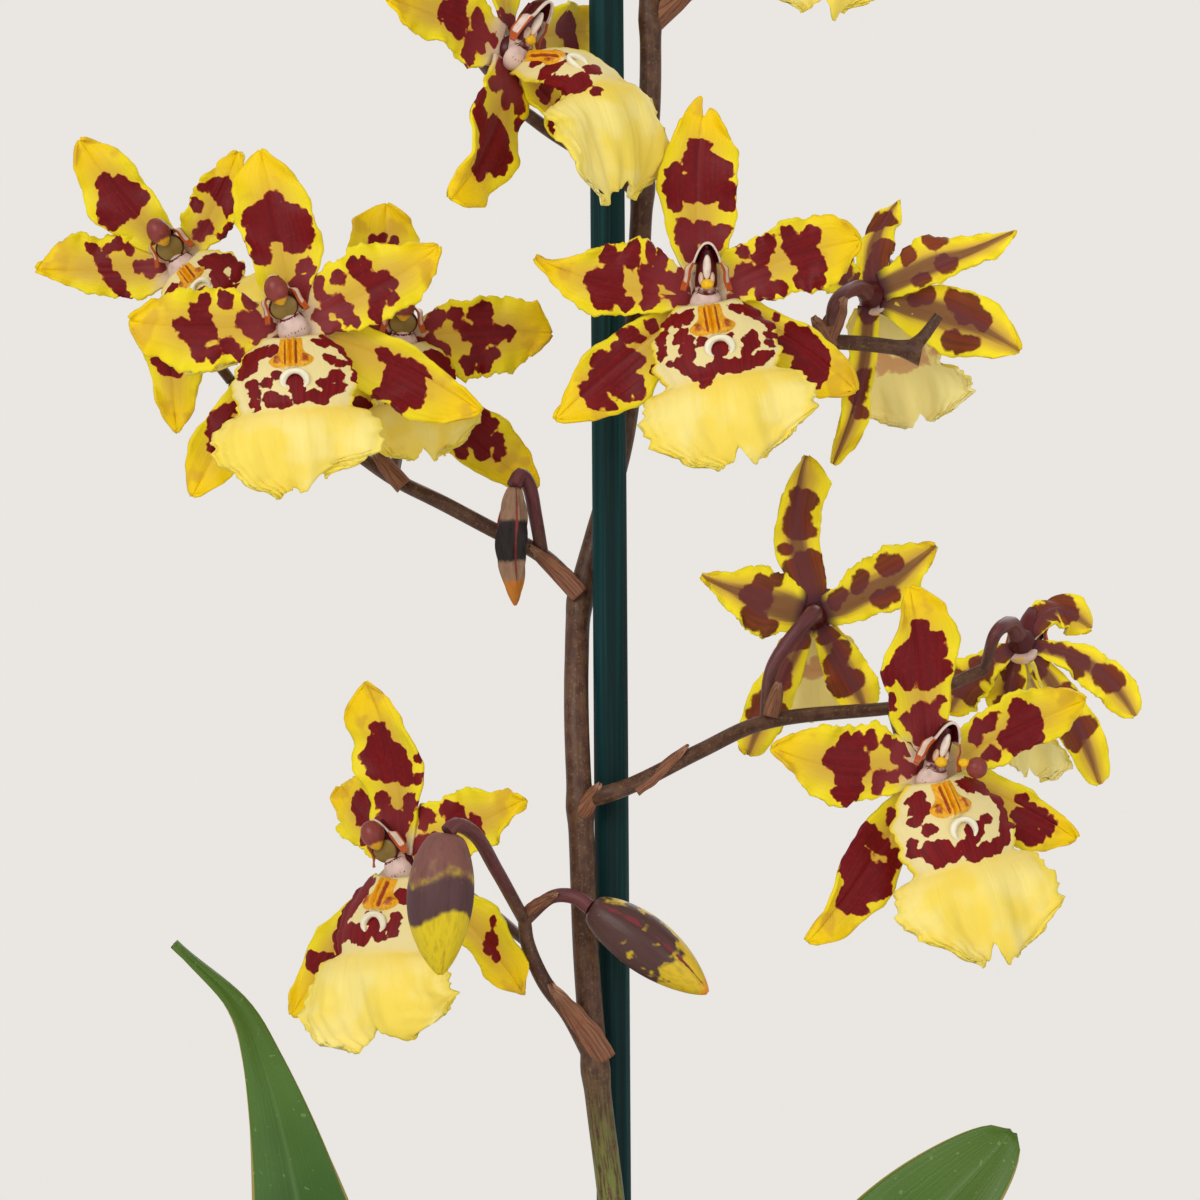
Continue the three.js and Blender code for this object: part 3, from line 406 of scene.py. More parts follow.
class Graph:
    """The node tree of one finish.

    Args:
        name: name of the real material.
    """

    def __init__(self, name: str) -> None:
        """Starts an empty node tree."""
        self.material = bpy.data.materials.new(name)
        self.material.use_nodes = True
        self.tree = self.material.node_tree
        self.tree.nodes.clear()

    def add(
        self,
        kind: str,
        inputs: dict[str | int, object] | None = None,
        output: str | int = 0,
        stops: Sequence[tuple[float, str]] = (),
        **settings: object,
    ) -> Socket:
        """Adds one node with its settings and links.

        Args:
            kind: type of the node.
            inputs: a value or an output socket for each input, by name or number.
            output: the output to hand back, by name or number.
            stops: places and hex colours, for a colour ramp.
            **settings: properties of the node.

        Returns:
            The output socket, or the node itself where it has none.
        """
        node = self.tree.nodes.new(kind)
        for name, value in settings.items():
            setattr(node, name, value)
        for key, value in (inputs or {}).items():
            if isinstance(value, Socket):
                self.tree.links.new(value, node.inputs[key])
            else:
                node.inputs[key].default_value = value
        for k, (place, text) in enumerate(stops):
            elements = node.color_ramp.elements
            element = elements[k] if k < 2 else elements.new(place)
            element.position, element.color = place, linear(text)
        return node.outputs[output] if node.outputs else node

    def mix(self, share: object, first: object, second: object, blend: str = "MIX") -> Socket:
        """Mixes two colours, each a socket or a hex colour."""
        a, b = (linear(c) if isinstance(c, str) else c for c in (first, second))
        pair = {0: share, 6: a, 7: b}
        return self.add("ShaderNodeMix", pair, 2, data_type="RGBA", blend_type=blend)

    def sum(self, first: object, second: object, operation: str = "ADD") -> Socket:
        """One arithmetic step on two values."""
        return self.add("ShaderNodeMath", {0: first, 1: second}, operation=operation)

    def times(self, first: object, second: object) -> Socket:
        """The product of two values."""
        return self.sum(first, second, "MULTIPLY")

    def minus(self, first: object, second: object) -> Socket:
        """The first value less the second."""
        return self.sum(first, second, "SUBTRACT")

    def jitter(self, depth: float, size: float, detail: float = 2.0) -> Socket:
        """Noise about zero that shifts an edge, with features of so many millimetres."""
        return self.times(self.minus(self.grain(size, detail), 0.5), depth)

    def veins(self, x: Socket, across: float, y: Socket, along: float, z: object, detail: float = 3.0) -> Socket:
        """Noise drawn out one way, from two values with their densities and a third as it is."""
        return self.grain(1.0, detail, self.stretched(self.times(x, across), self.times(y, along), z))

    def step(self, value: object, low: float, high: float) -> Socket:
        """A clamped smooth step of a value from low to high."""
        span = {"Value": value, "From Min": low, "From Max": high}
        return self.add("ShaderNodeMapRange", span, interpolation_type="SMOOTHSTEP")

    def grain(self, size: float, detail: float = 2.0, vector: object = None) -> Socket:
        """Cloudy noise with features of so many millimetres, or on another vector with a scale of one."""
        if vector is None:
            place = self.add("ShaderNodeTexCoord", output="Object")
            return self.add("ShaderNodeTexNoise", {"Vector": place, "Scale": per_mm(size), "Detail": detail})
        return self.add("ShaderNodeTexNoise", {"Vector": vector, "Scale": size, "Detail": detail})

    def parts(self, attribute: str) -> tuple[Socket, ...]:
        """The three numbers of a vector attribute."""
        vector = self.add("ShaderNodeAttribute", output="Vector", attribute_name=attribute)
        return tuple(self.add("ShaderNodeSeparateXYZ", {0: vector}).node.outputs)

    def stretched(self, x: object, y: object, z: object) -> Socket:
        """A vector from three values."""
        return self.add("ShaderNodeCombineXYZ", {0: x, 1: y, 2: z})

    def surface(
        self,
        colour: Socket,
        roughness: object,
        relief: Sequence[tuple[Socket, float]] = (),
        **fixed: object,
    ) -> Material:
        """Ends the tree with one principled shader.

        Args:
            colour: base colour.
            roughness: a value or a socket.
            relief: heights with their depth in millimetres, for the bump.
            **fixed: constant inputs of the shader, with _ for a space in their names.

        Returns:
            The finished material.
        """
        inputs: dict[str | int, object] = {"Base Color": colour, "Roughness": roughness}
        if "Subsurface_Weight" in fixed:
            fixed = {"Subsurface_Radius": (0.45, 0.4, 0.28), "Subsurface_Scale": MM, **fixed}
        normal = None
        for height, depth in relief:
            bump: dict[str | int, object] = {"Height": height, "Distance": depth * MM, "Strength": 1.0}
            if normal is not None:
                bump["Normal"] = normal
            normal = self.add("ShaderNodeBump", bump)
        if normal is not None:
            inputs["Normal"] = normal
        inputs.update({name.replace("_", " "): value for name, value in fixed.items()})
        shader = self.add("ShaderNodeBsdfPrincipled", inputs)
        self.add("ShaderNodeOutputMaterial", {"Surface": shader})
        return self.material


@dataclass(frozen=True)
class PetalFinish:
    """Front of a living petal: satin lemon to golden skin with fine veins and crisp wine-red blotches.

    The blade attribute holds the place across, the place along and the depth inside the blotches.
    """

    name: str = "petal_front_satin"
    lemon: str = "ecd81c"
    golden: str = "d2ac3c"
    tip: str = "f0cb06"
    throat: str = "dcc0a8"
    wine: str = "74060d"
    wine_deep: str = "62040a"
    # painted sheen: a milky, paler wine laid over the blotches near the base, standing in for the gloss of the surface
    painted_sheen: str = "8a3134"

    def material(self) -> Material:
        """Builds the node tree."""
        g = Graph(self.name)
        u, v, mark = g.parts("blade")
        seed, _, _ = g.parts("tint")
        side = g.sum(u, 0.0, "ABSOLUTE")
        veins = g.veins(u, 11.0, v, 1.8, seed)
        base = g.mix(g.step(side, 0.15, 0.95), self.golden, self.lemon)
        base = g.mix(g.step(v, 0.62, 0.95), base, self.tip)
        base = g.mix(g.step(v, 0.2, 0.02), base, self.throat)
        # Painted shade: a darker gold along the midrib crease, standing in for shade in the groove.
        crease = g.times(g.step(side, 0.09, 0.0), 0.35)
        base = g.mix(crease, base, "c99a1e")
        base = g.mix(g.times(g.step(veins, 0.45, 0.8), 0.22), base, "c9a52a")
        smudge = g.times(g.step(g.grain(5.0), 0.5, 0.62), g.step(v, 0.7, 0.8))
        base = g.mix(g.times(smudge, 0.42), base, "c08a34")
        wobble = g.jitter(1.9, 1.5, 1.5)
        inside = g.sum(mark, wobble)
        red = g.mix(g.step(veins, 0.3, 0.7), self.wine_deep, self.wine)
        red = g.mix(g.times(g.step(g.grain(0.8), 0.5, 0.7), 0.45), red, "860c12")
        # Painted sheen: near the base the blotches are mixed towards a paler, milky wine, standing in for the gloss of
        # the surface.
        red = g.mix(g.times(g.step(v, 0.42, 0.14), 0.62), red, self.painted_sheen)
        rim = g.mix(g.step(inside, -0.36, -0.2), base, "b0641e")
        colour = g.mix(g.step(inside, -0.26, -0.06), rim, red)
        relief = ((veins, 0.09), (g.grain(0.35, 1.0), 0.02))
        return g.surface(
            colour,
            g.add("ShaderNodeMapRange", {"Value": veins, "To Min": 0.36, "To Max": 0.52}),
            relief,
            Subsurface_Weight=0.15,
            Specular_IOR_Level=0.16,
        )


@dataclass(frozen=True)
class PetalBackFinish:
    """Back of a petal: dull skin that lets the blotches through softly, with a purple-brown midrib; its yellow margins
    are brightened as painted light shining through the thin petal.
    """

    name: str = "petal_back_matt"
    # painted light: this yellow is brighter than the front's, standing in for light shining through the thin petal
    yellow: str = "ffe822"
    middle: str = "d8ae40"
    wine: str = "80161a"
    rib: str = "6a3434"

    def material(self) -> Material:
        """Builds the node tree."""
        g = Graph(self.name)
        u, v, mark = g.parts("blade")
        seed, _, _ = g.parts("tint")
        side = g.sum(u, 0.0, "ABSOLUTE")
        veins = g.veins(u, 9.0, v, 1.6, seed)
        # Painted light: the brightened yellow at the margins stands in for light shining through the petal.
        base = g.mix(g.step(side, 0.2, 0.85), self.middle, self.yellow)
        inside = g.sum(mark, g.jitter(1.6, 1.6))
        red = g.mix(g.step(veins, 0.35, 0.65), "5c1216", self.wine)
        colour = g.mix(g.times(g.step(inside, -0.95, -0.45), 0.95), base, red)
        width = g.minus(0.56, g.times(v, 0.52))
        rib = g.step(g.sum(g.minus(side, width), g.times(veins, 0.3)), 0.34, 0.02)
        colour = g.mix(g.times(rib, 0.8), colour, self.rib)
        colour = g.mix(g.step(v, 0.12, 0.0), colour, "4a1f2c")
        return g.surface(colour, 0.55, ((veins, 0.1),), Subsurface_Weight=0.25, Specular_IOR_Level=0.18)


@dataclass(frozen=True)
class LipFinish:
    """Front of the lip: cream collar with wine-red spots, pale yellow skirt with soft radiating veins."""

    name: str = "lip_front_silky"
    cream: str = "e6d596"
    skirt: str = "f2d95a"
    skirt_pale: str = "f3e184"
    wine: str = "7c050c"
    wine_deep: str = "680409"

    def material(self) -> Material:
        """Builds the node tree."""
        g = Graph(self.name)
        u, v, mark = g.parts("blade")
        seed, edge, _ = g.parts("tint")
        veins = g.veins(u, 16.0, v, 2.2, seed)
        skirt = g.mix(g.step(g.grain(9.0), 0.4, 0.62), self.skirt, self.skirt_pale)
        skirt = g.mix(g.times(g.step(veins, 0.5, 0.75), 0.3), skirt, "e9cf4c")
        skirt = g.mix(g.times(g.step(edge, 2.6, 0.0), 0.5), skirt, "ecd63e")
        skirt = g.mix(g.times(g.step(v, 0.62, 0.48), 0.35), skirt, "e3bf4e")
        base = g.mix(g.step(v, 0.41, 0.48), self.cream, skirt)
        base = g.mix(g.times(g.step(edge, 0.9, 0.2), g.step(v, 0.5, 0.42)), base, "e8cf3a")
        wobble = g.jitter(1.5, 1.2, 1.5)
        inside = g.sum(mark, wobble)
        red = g.mix(g.step(veins, 0.35, 0.62), self.wine_deep, self.wine)
        colour = g.mix(g.step(inside, -0.3, -0.12), base, red)
        relief = ((veins, 0.1), (g.grain(0.4, 1.0), 0.02))
        return g.surface(colour, 0.5, relief, Subsurface_Weight=0.3, Specular_IOR_Level=0.18)


@dataclass(frozen=True)
class LipBackFinish:
    """Back of the lip: pale matt yellow, brightened as painted light shining through the lip, with faint veins and the
    collar's spots showing through.
    """

    name: str = "lip_back_matt"
    # painted light: this pale yellow is brightened to stand in for light shining through the thin lip
    yellow: str = "fff0a0"

    def material(self) -> Material:
        """Builds the node tree."""
        g = Graph(self.name)
        u, v, mark = g.parts("blade")
        veins = g.veins(u, 12.0, v, 2.0, 3.0)
        # Painted light: the brightened base yellow stands in for light shining through the lip.
        base = g.mix(g.times(g.step(veins, 0.4, 0.7), 0.25), self.yellow, "f6dc7c")
        inside = g.sum(mark, g.jitter(1.6, 1.4))
        colour = g.mix(g.times(g.step(inside, -0.5, 0.4), 0.6), base, "c8705c")
        return g.surface(colour, 0.55, ((veins, 0.08),), Subsurface_Weight=0.2, Specular_IOR_Level=0.2)


@dataclass(frozen=True)
class TissueFinish:
    """Waxy flower tissue whose colours follow the tint attribute, with edges broken by fine noise.

    Each of the three numbers of the tint attribute lays one colour over the base.
    """

    name: str
    base: str
    first: str
    second: str
    third: str
    roughness: float = 0.4
    grit: float = 1.2
    soft: float = 0.14
    streak: float = 0.25
    gloss: float = 0.3
    shake: float = 0.55

    def material(self) -> Material:
        """Builds the node tree."""
        g = Graph(self.name)
        shares = g.parts("tint")
        x, y, run = g.parts("blade")
        fine = g.grain(self.grit, 2.0)
        lines = g.veins(x, 1.6, y, 1.6, g.times(run, 0.12), detail=2.0)
        colour = g.mix(g.times(lines, self.streak), self.base, self.first)
        shaken = g.times(g.minus(fine, 0.5), self.shake)
        for share, text in zip(shares, (self.first, self.second, self.third)):
            there = g.step(g.sum(share, shaken), 0.5 - self.soft, 0.5 + self.soft)
            colour = g.mix(there, colour, text)
        colour = g.mix(g.times(g.step(lines, 0.45, 0.75), 0.22), colour, "2e1512")
        relief = ((lines, 0.06), (fine, 0.03))
        return g.surface(
            colour, self.roughness, relief, Subsurface_Weight=0.05, Specular_IOR_Level=self.gloss
        )


@dataclass(frozen=True)
class StemFinish:
    """Flower stem: waxy brown skin with pale flecks and fine streaks, greener low down, purple where young."""

    name: str = "stem_waxy_skin"

    def material(self) -> Material:
        """Builds the node tree."""
        g = Graph(self.name)
        x, y, run = g.parts("blade")
        place = g.add("ShaderNodeTexCoord", output="Object")
        height = g.add("ShaderNodeSeparateXYZ", {0: place}).node.outputs[2]
        lines = g.veins(x, 2.2, y, 2.2, g.times(run, 0.25))
        mottle = g.grain(2.2, 3.0)
        colour = g.mix(g.step(mottle, 0.36, 0.68), "4a2e24", "604232")
        colour = g.mix(g.times(g.step(lines, 0.5, 0.72), 0.5), colour, "6a5234")
        green = g.times(g.step(height, 0.352, 0.325), g.step(lines, 0.36, 0.58))
        colour = g.mix(g.times(green, 0.8), colour, "6f7a35")
        flecks = g.step(g.grain(0.5, 1.0), 0.62, 0.68)
        colour = g.mix(g.times(flecks, 0.3), colour, "857a48")
        young, _, _ = g.parts("tint")
        colour = g.mix(young, colour, g.mix(lines, "431824", "7a4644"))
        return g.surface(colour, 0.38, ((lines, 0.1), (mottle, 0.04)), Specular_IOR_Level=0.22)


@dataclass(frozen=True)
class PaperFinish:
    """Dry bract: papery sheath, reddish brown with darker fibres."""

    name: str = "bract_dry_paper"

    def material(self) -> Material:
        """Builds the node tree."""
        g = Graph(self.name)
        u, v, _ = g.parts("blade")
        fibres = g.veins(u, 9.0, v, 1.5, 0.0, detail=4.0)
        colour = g.mix(g.step(fibres, 0.35, 0.65), "5b3524", "96613f")
        colour = g.mix(g.times(g.step(v, 0.75, 1.0), 0.6), colour, "b3876a")
        colour = g.mix(g.times(g.step(g.grain(2.0), 0.55, 0.7), 0.5), colour, "7a3c28")
        return g.surface(colour, 0.68, ((fibres, 0.25),))


@dataclass(frozen=True)
class LeafFinish:
    """Strap leaf: leathery green with a pale crease, fine parallel veins and a thin yellow edge."""

    name: str = "leaf_leathery"

    def material(self) -> Material:
        """Builds the node tree."""
        g = Graph(self.name)
        u, v, _ = g.parts("blade")
        side = g.sum(u, 0.0, "ABSOLUTE")
        veins = g.veins(u, 22.0, v, 4.0, 0.0)
        cloud = g.grain(26.0, 2.0)
        colour = g.mix(g.step(cloud, 0.35, 0.65), "2c5210", "3d6620")
        colour = g.mix(g.times(veins, 0.35), colour, "47702a")
        colour = g.mix(g.times(g.step(v, 0.72, 0.96), 0.6), colour, "54701c")
        colour = g.mix(g.times(g.step(v, 0.16, 0.0), 0.7), colour, "7f9448")
        colour = g.mix(g.times(g.step(side, 0.1, 0.0), 0.45), colour, "567a3a")
        colour = g.mix(g.step(side, 0.955, 0.995), colour, "9a8c3e")
        flecks = g.step(g.grain(1.1, 1.0), 0.7, 0.74)
        colour = g.mix(g.times(flecks, 0.3), colour, "8fa868")
        relief = ((veins, 0.12), (g.grain(0.9, 2.0), 0.03))
        return g.surface(colour, 0.4, relief, Subsurface_Weight=0.04, Specular_IOR_Level=0.35)


@dataclass(frozen=True)
class BulbFinish:
    """Pseudobulb: smooth waxy green skin with vertical ribs, fading to straw at the foot."""

    name: str = "bulb_waxy_skin"

    def material(self) -> Material:
        """Builds the node tree."""
        g = Graph(self.name)
        foot, _, _ = g.parts("tint")
        place = g.add("ShaderNodeTexCoord", output="Object")
        flat = g.add("ShaderNodeMapping", {"Vector": place, "Scale": (700.0, 700.0, 60.0)})
        lines = g.grain(1.0, 3.0, flat)
        colour = g.mix(g.step(lines, 0.35, 0.65), "66802c", "8b9c48")
        colour = g.mix(g.times(g.step(g.grain(9.0), 0.5, 0.66), 0.5), colour, "a3a557")
        colour = g.mix(g.step(g.sum(foot, g.times(lines, 0.4)), 0.55, 0.95), colour, "a98a54")
        flecks = g.step(g.grain(1.3, 1.0), 0.68, 0.72)
        colour = g.mix(g.times(flecks, 0.6), colour, "5d4a2a")
        return g.surface(colour, 0.42, ((lines, 0.2), (g.grain(4.0), 0.2)), IOR=1.45)


@dataclass(frozen=True)
class BarkFinish:
    """Chipped pine bark: rough, fibrous, from red-brown to nearly black, each chip in its own shade."""

    name: str = "bark_chipped_pine"

    def material(self) -> Material:
        """Builds the node tree."""
        g = Graph(self.name)
        shade, _, _ = g.parts("tint")
        fibres = g.grain(2.2, 5.0)
        colour = g.mix(shade, "3a2418", "7c5236")
        colour = g.mix(g.step(fibres, 0.42, 0.62), g.mix(0.6, colour, "26170f"), colour)
        colour = g.mix(g.times(g.step(g.grain(5.0), 0.56, 0.68), 0.5), colour, "9a7350")
        return g.surface(colour, 0.92, ((fibres, 0.7), (g.grain(0.7, 2.0), 0.2)))


@dataclass(frozen=True)
class GlazeFinish:
    """Stoneware pot under a warm white glaze: glossy, with faint clouds and small iron specks."""

    name: str = "pot_glazed_stoneware"

    def material(self) -> Material:
        """Builds the node tree."""
        g = Graph(self.name)
        colour = g.mix(g.step(g.grain(38.0, 3.0), 0.35, 0.68), "e9e4da", "ded7c9")
        specks = g.add("ShaderNodeTexVoronoi", {"Scale": per_mm(6.0)}, "Distance")
        self._on_object(g, specks)
        colour = g.mix(g.times(g.step(specks, 0.085, 0.03), 0.7), colour, "8d7656")
        relief = ((g.grain(14.0, 2.0), 0.25), (g.grain(1.6, 2.0), 0.03))
        return g.surface(colour, 0.24, relief, IOR=1.5, Coat_Weight=0.35, Coat_Roughness=0.08)

    @staticmethod
    def _on_object(g: Graph, socket: Socket) -> None:
        """Lets a texture read Object coordinates."""
        place = g.add("ShaderNodeTexCoord", output="Object")
        g.tree.links.new(place, socket.node.inputs["Vector"])


@dataclass(frozen=True)
class StakeFinish:
    """Split bamboo stake, stained dark blue-green: long fibres with paler streaks and a dull sheen."""

    name: str = "stake_stained_bamboo"

    def material(self) -> Material:
        """Builds the node tree."""
        g = Graph(self.name)
        place = g.add("ShaderNodeTexCoord", output="Object")
        long = g.add("ShaderNodeMapping", {"Vector": place, "Scale": (1500.0, 1500.0, 18.0)})
        fibres = g.grain(1.0, 4.0, long)
        broad = g.add("ShaderNodeMapping", {"Vector": place, "Scale": (420.0, 420.0, 7.0)})
        bands = g.grain(1.0, 2.0, broad)
        colour = g.mix(g.step(bands, 0.36, 0.64), "011f20", "053436")
        colour = g.mix(g.times(g.step(fibres, 0.52, 0.72), 0.5), colour, "0f4a48")
        colour = g.mix(g.times(g.step(fibres, 0.42, 0.28), 0.7), colour, "010f12")
        return g.surface(colour, 0.6, ((fibres, 0.16), (bands, 0.2)), Specular_IOR_Level=0.16)


@dataclass(frozen=True)
class PlasticFinish:
    """Moulded green polypropylene clip: soft sheen and a faint mould grain."""

    name: str = "clip_moulded_polypropylene"

    def material(self) -> Material:
        """Builds the node tree."""
        g = Graph(self.name)
        colour = g.mix(g.step(g.grain(2.5), 0.4, 0.6), "2b6b55", "33755e")
        return g.surface(colour, 0.42, ((g.grain(0.3, 1.0), 0.02),), IOR=1.49)


# Blooms


class Part(Enum):
    """The five outer blades of a bloom."""

    DORSAL = "dorsal"
    PETAL_L = "petal_l"
    PETAL_R = "petal_r"
    SEPAL_L = "sepal_l"
    SEPAL_R = "sepal_r"

    @property
    def is_petal(self) -> bool:
        """Whether it is one of the two ruffled petals, and not a sepal."""
        return self in (Part.PETAL_L, Part.PETAL_R)


class Cap(Enum):
    """Where the anther cap of a bloom is."""

    CLOSED = "closed"
    GONE = "gone"
    FALLEN = "fallen"


LIP_OUTLINE = (
    (0.0, 5.4), (0.09, 8.8), (0.2, 10.8), (0.32, 11.2), (0.43, 10.0), (0.5, 14.0), (0.62, 15.4), (0.76, 15.0),
    (0.89, 10.8), (1.0, 4.6),
)

# The ivory crest: its place along and across the lip, its reach, and the usual size of a lip, in millimetres.
CREST_PLACE, CREST_REACH = (0.29, -0.05), 2.1
LIP_LENGTH, COLLAR_HALF = 36.0, 10.9
LIP_STRETCH = 1.15  # a lip is this much longer than the straight way to its tip
HUB_RADIUS, HUB_BEHIND, HUB_DEPTH = 2.8, 1.4, 3.9
EDGE_PLACES = (0.0, 0.1, 0.3, 0.5, 0.7, 0.88, 1.0)


@dataclass(frozen=True)
class Tepal:
    """One outer blade of a bloom.

    Args:
        tip: where it ends, from the heart of the bloom.
        width: its full width.
        bow: offset of the middle of its spine.
        roll: turn about its own length, in degrees.
        edges: reach in millimetres of its left and its right edge, seen from the front with its tip up, at the
            five inner EDGE_PLACES, or none for a plain outline.
        marks: its blotches, or none for a pattern of its own kind.
        cleft: depth of a cleft in its tip, and by how much the right lobe is shorter, as shares of its length.
    """

    tip: Point
    width: float
    bow: Point = (0.0, 0.0, 0.0)
    roll: float = 0.0
    edges: tuple[tuple[float, ...], ...] = ()
    marks: Marks = ()
    cleft: tuple[float, float] = (0.0, 0.0)


@dataclass(frozen=True)
class Lip:
    """The lip of a bloom: a collar with two side lobes and a wide skirt.

    Args:
        tip: where it ends, from the heart of the bloom.
        scale: its size against the outline.
        bow: offset of the middle of its spine.
        arch: how far it stands forward.
        roll: turn about its own length, in degrees.
        twist: further turn at its base.
        drop: how far below the heart it starts.
        drips: places across its lower edge, from 1 at the viewer's left to -1 at the right, each with how far
            it runs out there, as a share of its length.
        trim: shares by which its lower left and lower right corners are cut away.
        slim: share by which its collar is narrower than usual.
        marks: its blotches, or none for the usual ones.
    """

    tip: Point
    scale: float = 1.0
    bow: Point = (0.0, 0.0, 0.0)
    arch: float = 3.5
    roll: float = 0.0
    twist: float = 0.0
    drop: float = 1.8
    drips: tuple[tuple[float, float], ...] = ((0.05, -0.045), (-0.42, 0.05))
    trim: tuple[float, float] = (0.0, 0.0)
    slim: float = 0.0
    marks: Marks = ()

    def half(self, u: Array, v: Array) -> Array:
        """Half width at each place."""
        cut = np.where(u > 0, *self.trim) * ramp(v, 0.62, 1.0) + self.slim * ramp(v, 0.55, 0.3)
        return stepped(LIP_OUTLINE, v) * self.scale * (1 - cut)


# The usual blotches of a lip: two shoulders, a ring of spots, the heart patch and the scalloped band.
LIP_MARKS: Marks = (
    (0.15, -0.62, 2.0), (0.2, -0.72, 1.9), (0.15, 0.62, 2.0), (0.21, 0.74, 2.0), (0.29, -0.86, 1.0),
    (0.35, -0.86, 1.0), (0.4, -0.8, 1.0), (0.29, 0.86, 1.0), (0.36, 0.86, 1.0), (0.27, -0.48, 1.1),
    (0.33, -0.42, 1.4), (0.39, -0.42, 1.6), (0.27, 0.5, 1.1), (0.33, 0.46, 1.5), (0.38, 0.42, 1.4),
    (0.34, 0.0, 1.4), (0.39, 0.04, 1.1), (0.43, -0.22, 1.7), (0.46, -0.06, 1.8), (0.44, 0.16, 1.6),
    (0.42, 0.34, 1.5), (0.43, -0.5, 1.3), (0.42, 0.56, 1.1),
)


@dataclass(frozen=True)
class Bloom:
    """One flower: five outer blades, a lip and a column.

    Args:
        name: name of the bloom, as in the CAD nodes.
        heart: where its blades join.
        yaw: the way it faces, in degrees to the viewer's right.
        pitch: and in degrees up.
        tepals: its outer blades.
        lip: its lip.
        column: the way its column leans.
        seed: number of its own pattern.
        cap: where its anther cap is.
    """

    name: str
    heart: Point
    yaw: float
    pitch: float
    tepals: dict[Part, Tepal]
    lip: Lip
    column: Point = (0.0, 0.0, 1.0)
    seed: int = 1
    cap: Cap = Cap.CLOSED

    @property
    def facing(self) -> Array:
        """The way it faces."""
        return facing_of(self.yaw, self.pitch)

    def stalk_end(self) -> list[Point]:
        """The point through which its stalk comes in, and the stalk's end."""
        end = np.array(self.heart) - (HUB_DEPTH + 0.1) * self.facing
        return [tuple(end - 4 * self.facing), tuple(end)]

    def tepal_spine(self, tepal: Tepal) -> Spine:
        """Spine of one outer blade."""
        heart, tip = np.array(self.heart), np.array(tepal.tip, float)
        base = heart - HUB_BEHIND * self.facing + 0.7 * HUB_RADIUS * unit(tip)
        return Spine(base, heart + tip, np.array(tepal.bow, float), self.facing, tepal.roll)

    @staticmethod
    def tepal_half(tepal: Tepal, u: Array, v: Array) -> Array:
        """Half width of an outer blade: narrow claw, broad middle and short end, or its own two edges."""
        if not tepal.edges:
            rise = np.maximum(v, 0) ** 0.95 * np.maximum(1 - v, 0) ** 0.5 / 0.516
            return tepal.width / 2 * (0.13 * np.maximum(1 - v, 0) ** 3 + rise) + 0.45
        sides = []
        for edge in tepal.edges:
            reach = (0.5 * edge[0] + 0.6, *edge, 0.55 * edge[-1])
            sides.append(sum(np.interp(v + d, EDGE_PLACES, reach) for d in (-0.07, -0.035, 0, 0.035, 0.07)) / 5)
        blunt = 0.8 if tepal.cleft[0] else 0.0
        closing = blunt + (1 - blunt) * np.sqrt(np.clip((1 - v) / 0.13, 0, 1))
        return np.where(u < 0, sides[0], sides[1]) * closing + 0.3

    def tepal_shape(self, part: Part) -> Shape:
        """Surface of one outer blade, with its midrib groove and its ruffled margin."""
        tepal = self.tepals[part]
        spine = self.tepal_spine(tepal)
        frill = 1.0 if part.is_petal else 0.45
        phase = self.seed * 2.3 + tepal.width

        def shape(u: Array, v: Array) -> Array:
            """Places on the blade."""
            lobes = tepal.cleft[0] * bell(u, 0.22) + tepal.cleft[1] * ramp(u, 0.0, 0.2)
            lobes += 0.5 * tepal.cleft[0] * np.abs(u) ** 3
            point, across, out = spine.at(v - lobes * ramp(v, 0.7, 1.0))
            half = self.tepal_half(tepal, u, v)
            edge = np.abs(u) ** 3
            jag = 0.035 * np.sin(31 * v + phase + 3 * u) + 0.028 * np.sin(67 * v + 2.1 * phase + 5 * u)
            jag += 0.02 * np.sin(121 * v + 3.7 * phase) * frill
            wide = u * half * (1 + 0.05 * np.sin(17 * v + 2 * u) + jag * edge * frill)
            ruffle = 1.1 * u * u * np.sin(2 * math.pi * (2.6 * v + 0.31 * u) + tepal.width)
            ruffle += 0.42 * frill * edge * np.sin(2 * math.pi * 7.3 * v + 2 * u + phase)
            lift = 0.12 * half * u * u + ruffle * np.minimum(1, 2 * v)
            lift -= 0.3 * bell(u, 0.1) * ramp(v, 0.0, 0.3)
            return point + across * wide[:, None] + out * lift[:, None]

        return shape

    def _own_marks(self, part: Part) -> Marks:
        """Blotches of the usual kind: a lobed one past the middle, a band below it and spots at the claw."""
        tepal = self.tepals[part]
        dice = random.Random(100 * self.seed + list(Part).index(part))
        size = tepal.width / 14
        marks = []
        for place, count, radius in ((0.64, 6, 2.4), (0.36, 4, 1.7), (0.14, 3, 1.3)):
            for _ in range(count):
                across = dice.uniform(-0.55, 0.55) if count > 1 else 0.0
                along = place + dice.uniform(-0.07, 0.07)
                marks.append((along, across, size * radius * dice.uniform(0.75, 1.15)))
        return tuple(marks)

    def paint_tepal(self, part: Part) -> Paint:
        """Attributes of one outer blade."""
        tepal = self.tepals[part]
        marks = tepal.marks or self._own_marks(part)
        length = float(np.linalg.norm(tepal.tip))

        def paint(u: Array, v: Array) -> tuple[Array, Array]:
            """Place and blotch depth, then pattern number and distance from the edge."""
            half = self.tepal_half(tepal, u, v)
            depth = mark_field(marks, u, v, half, length)
            seed = np.full(u.shape, 7.0 * self.seed + tepal.width)
            edge = half * (1 - np.abs(u))
            return rows(u, v, depth), rows(seed, edge)

        return paint

    def lip_shape(self, lift: float = 0.0) -> Shape:
        """Surface of the lip: arched collar, then a skirt with soft folds and a scalloped, frilled margin."""
        lip, facing = self.lip, self.facing
        heart, tip = np.array(self.heart), np.array(lip.tip, float)
        down = square_to(tip, facing)
        spine = Spine(
            heart + 2.6 * facing + lip.drop * down,
            heart + tip,
            np.array(lip.bow, float) + lip.arch * facing,
            facing - 0.45 * down,
            lip.roll,
            lip.twist,
        )
        phase = 3.1 * self.seed

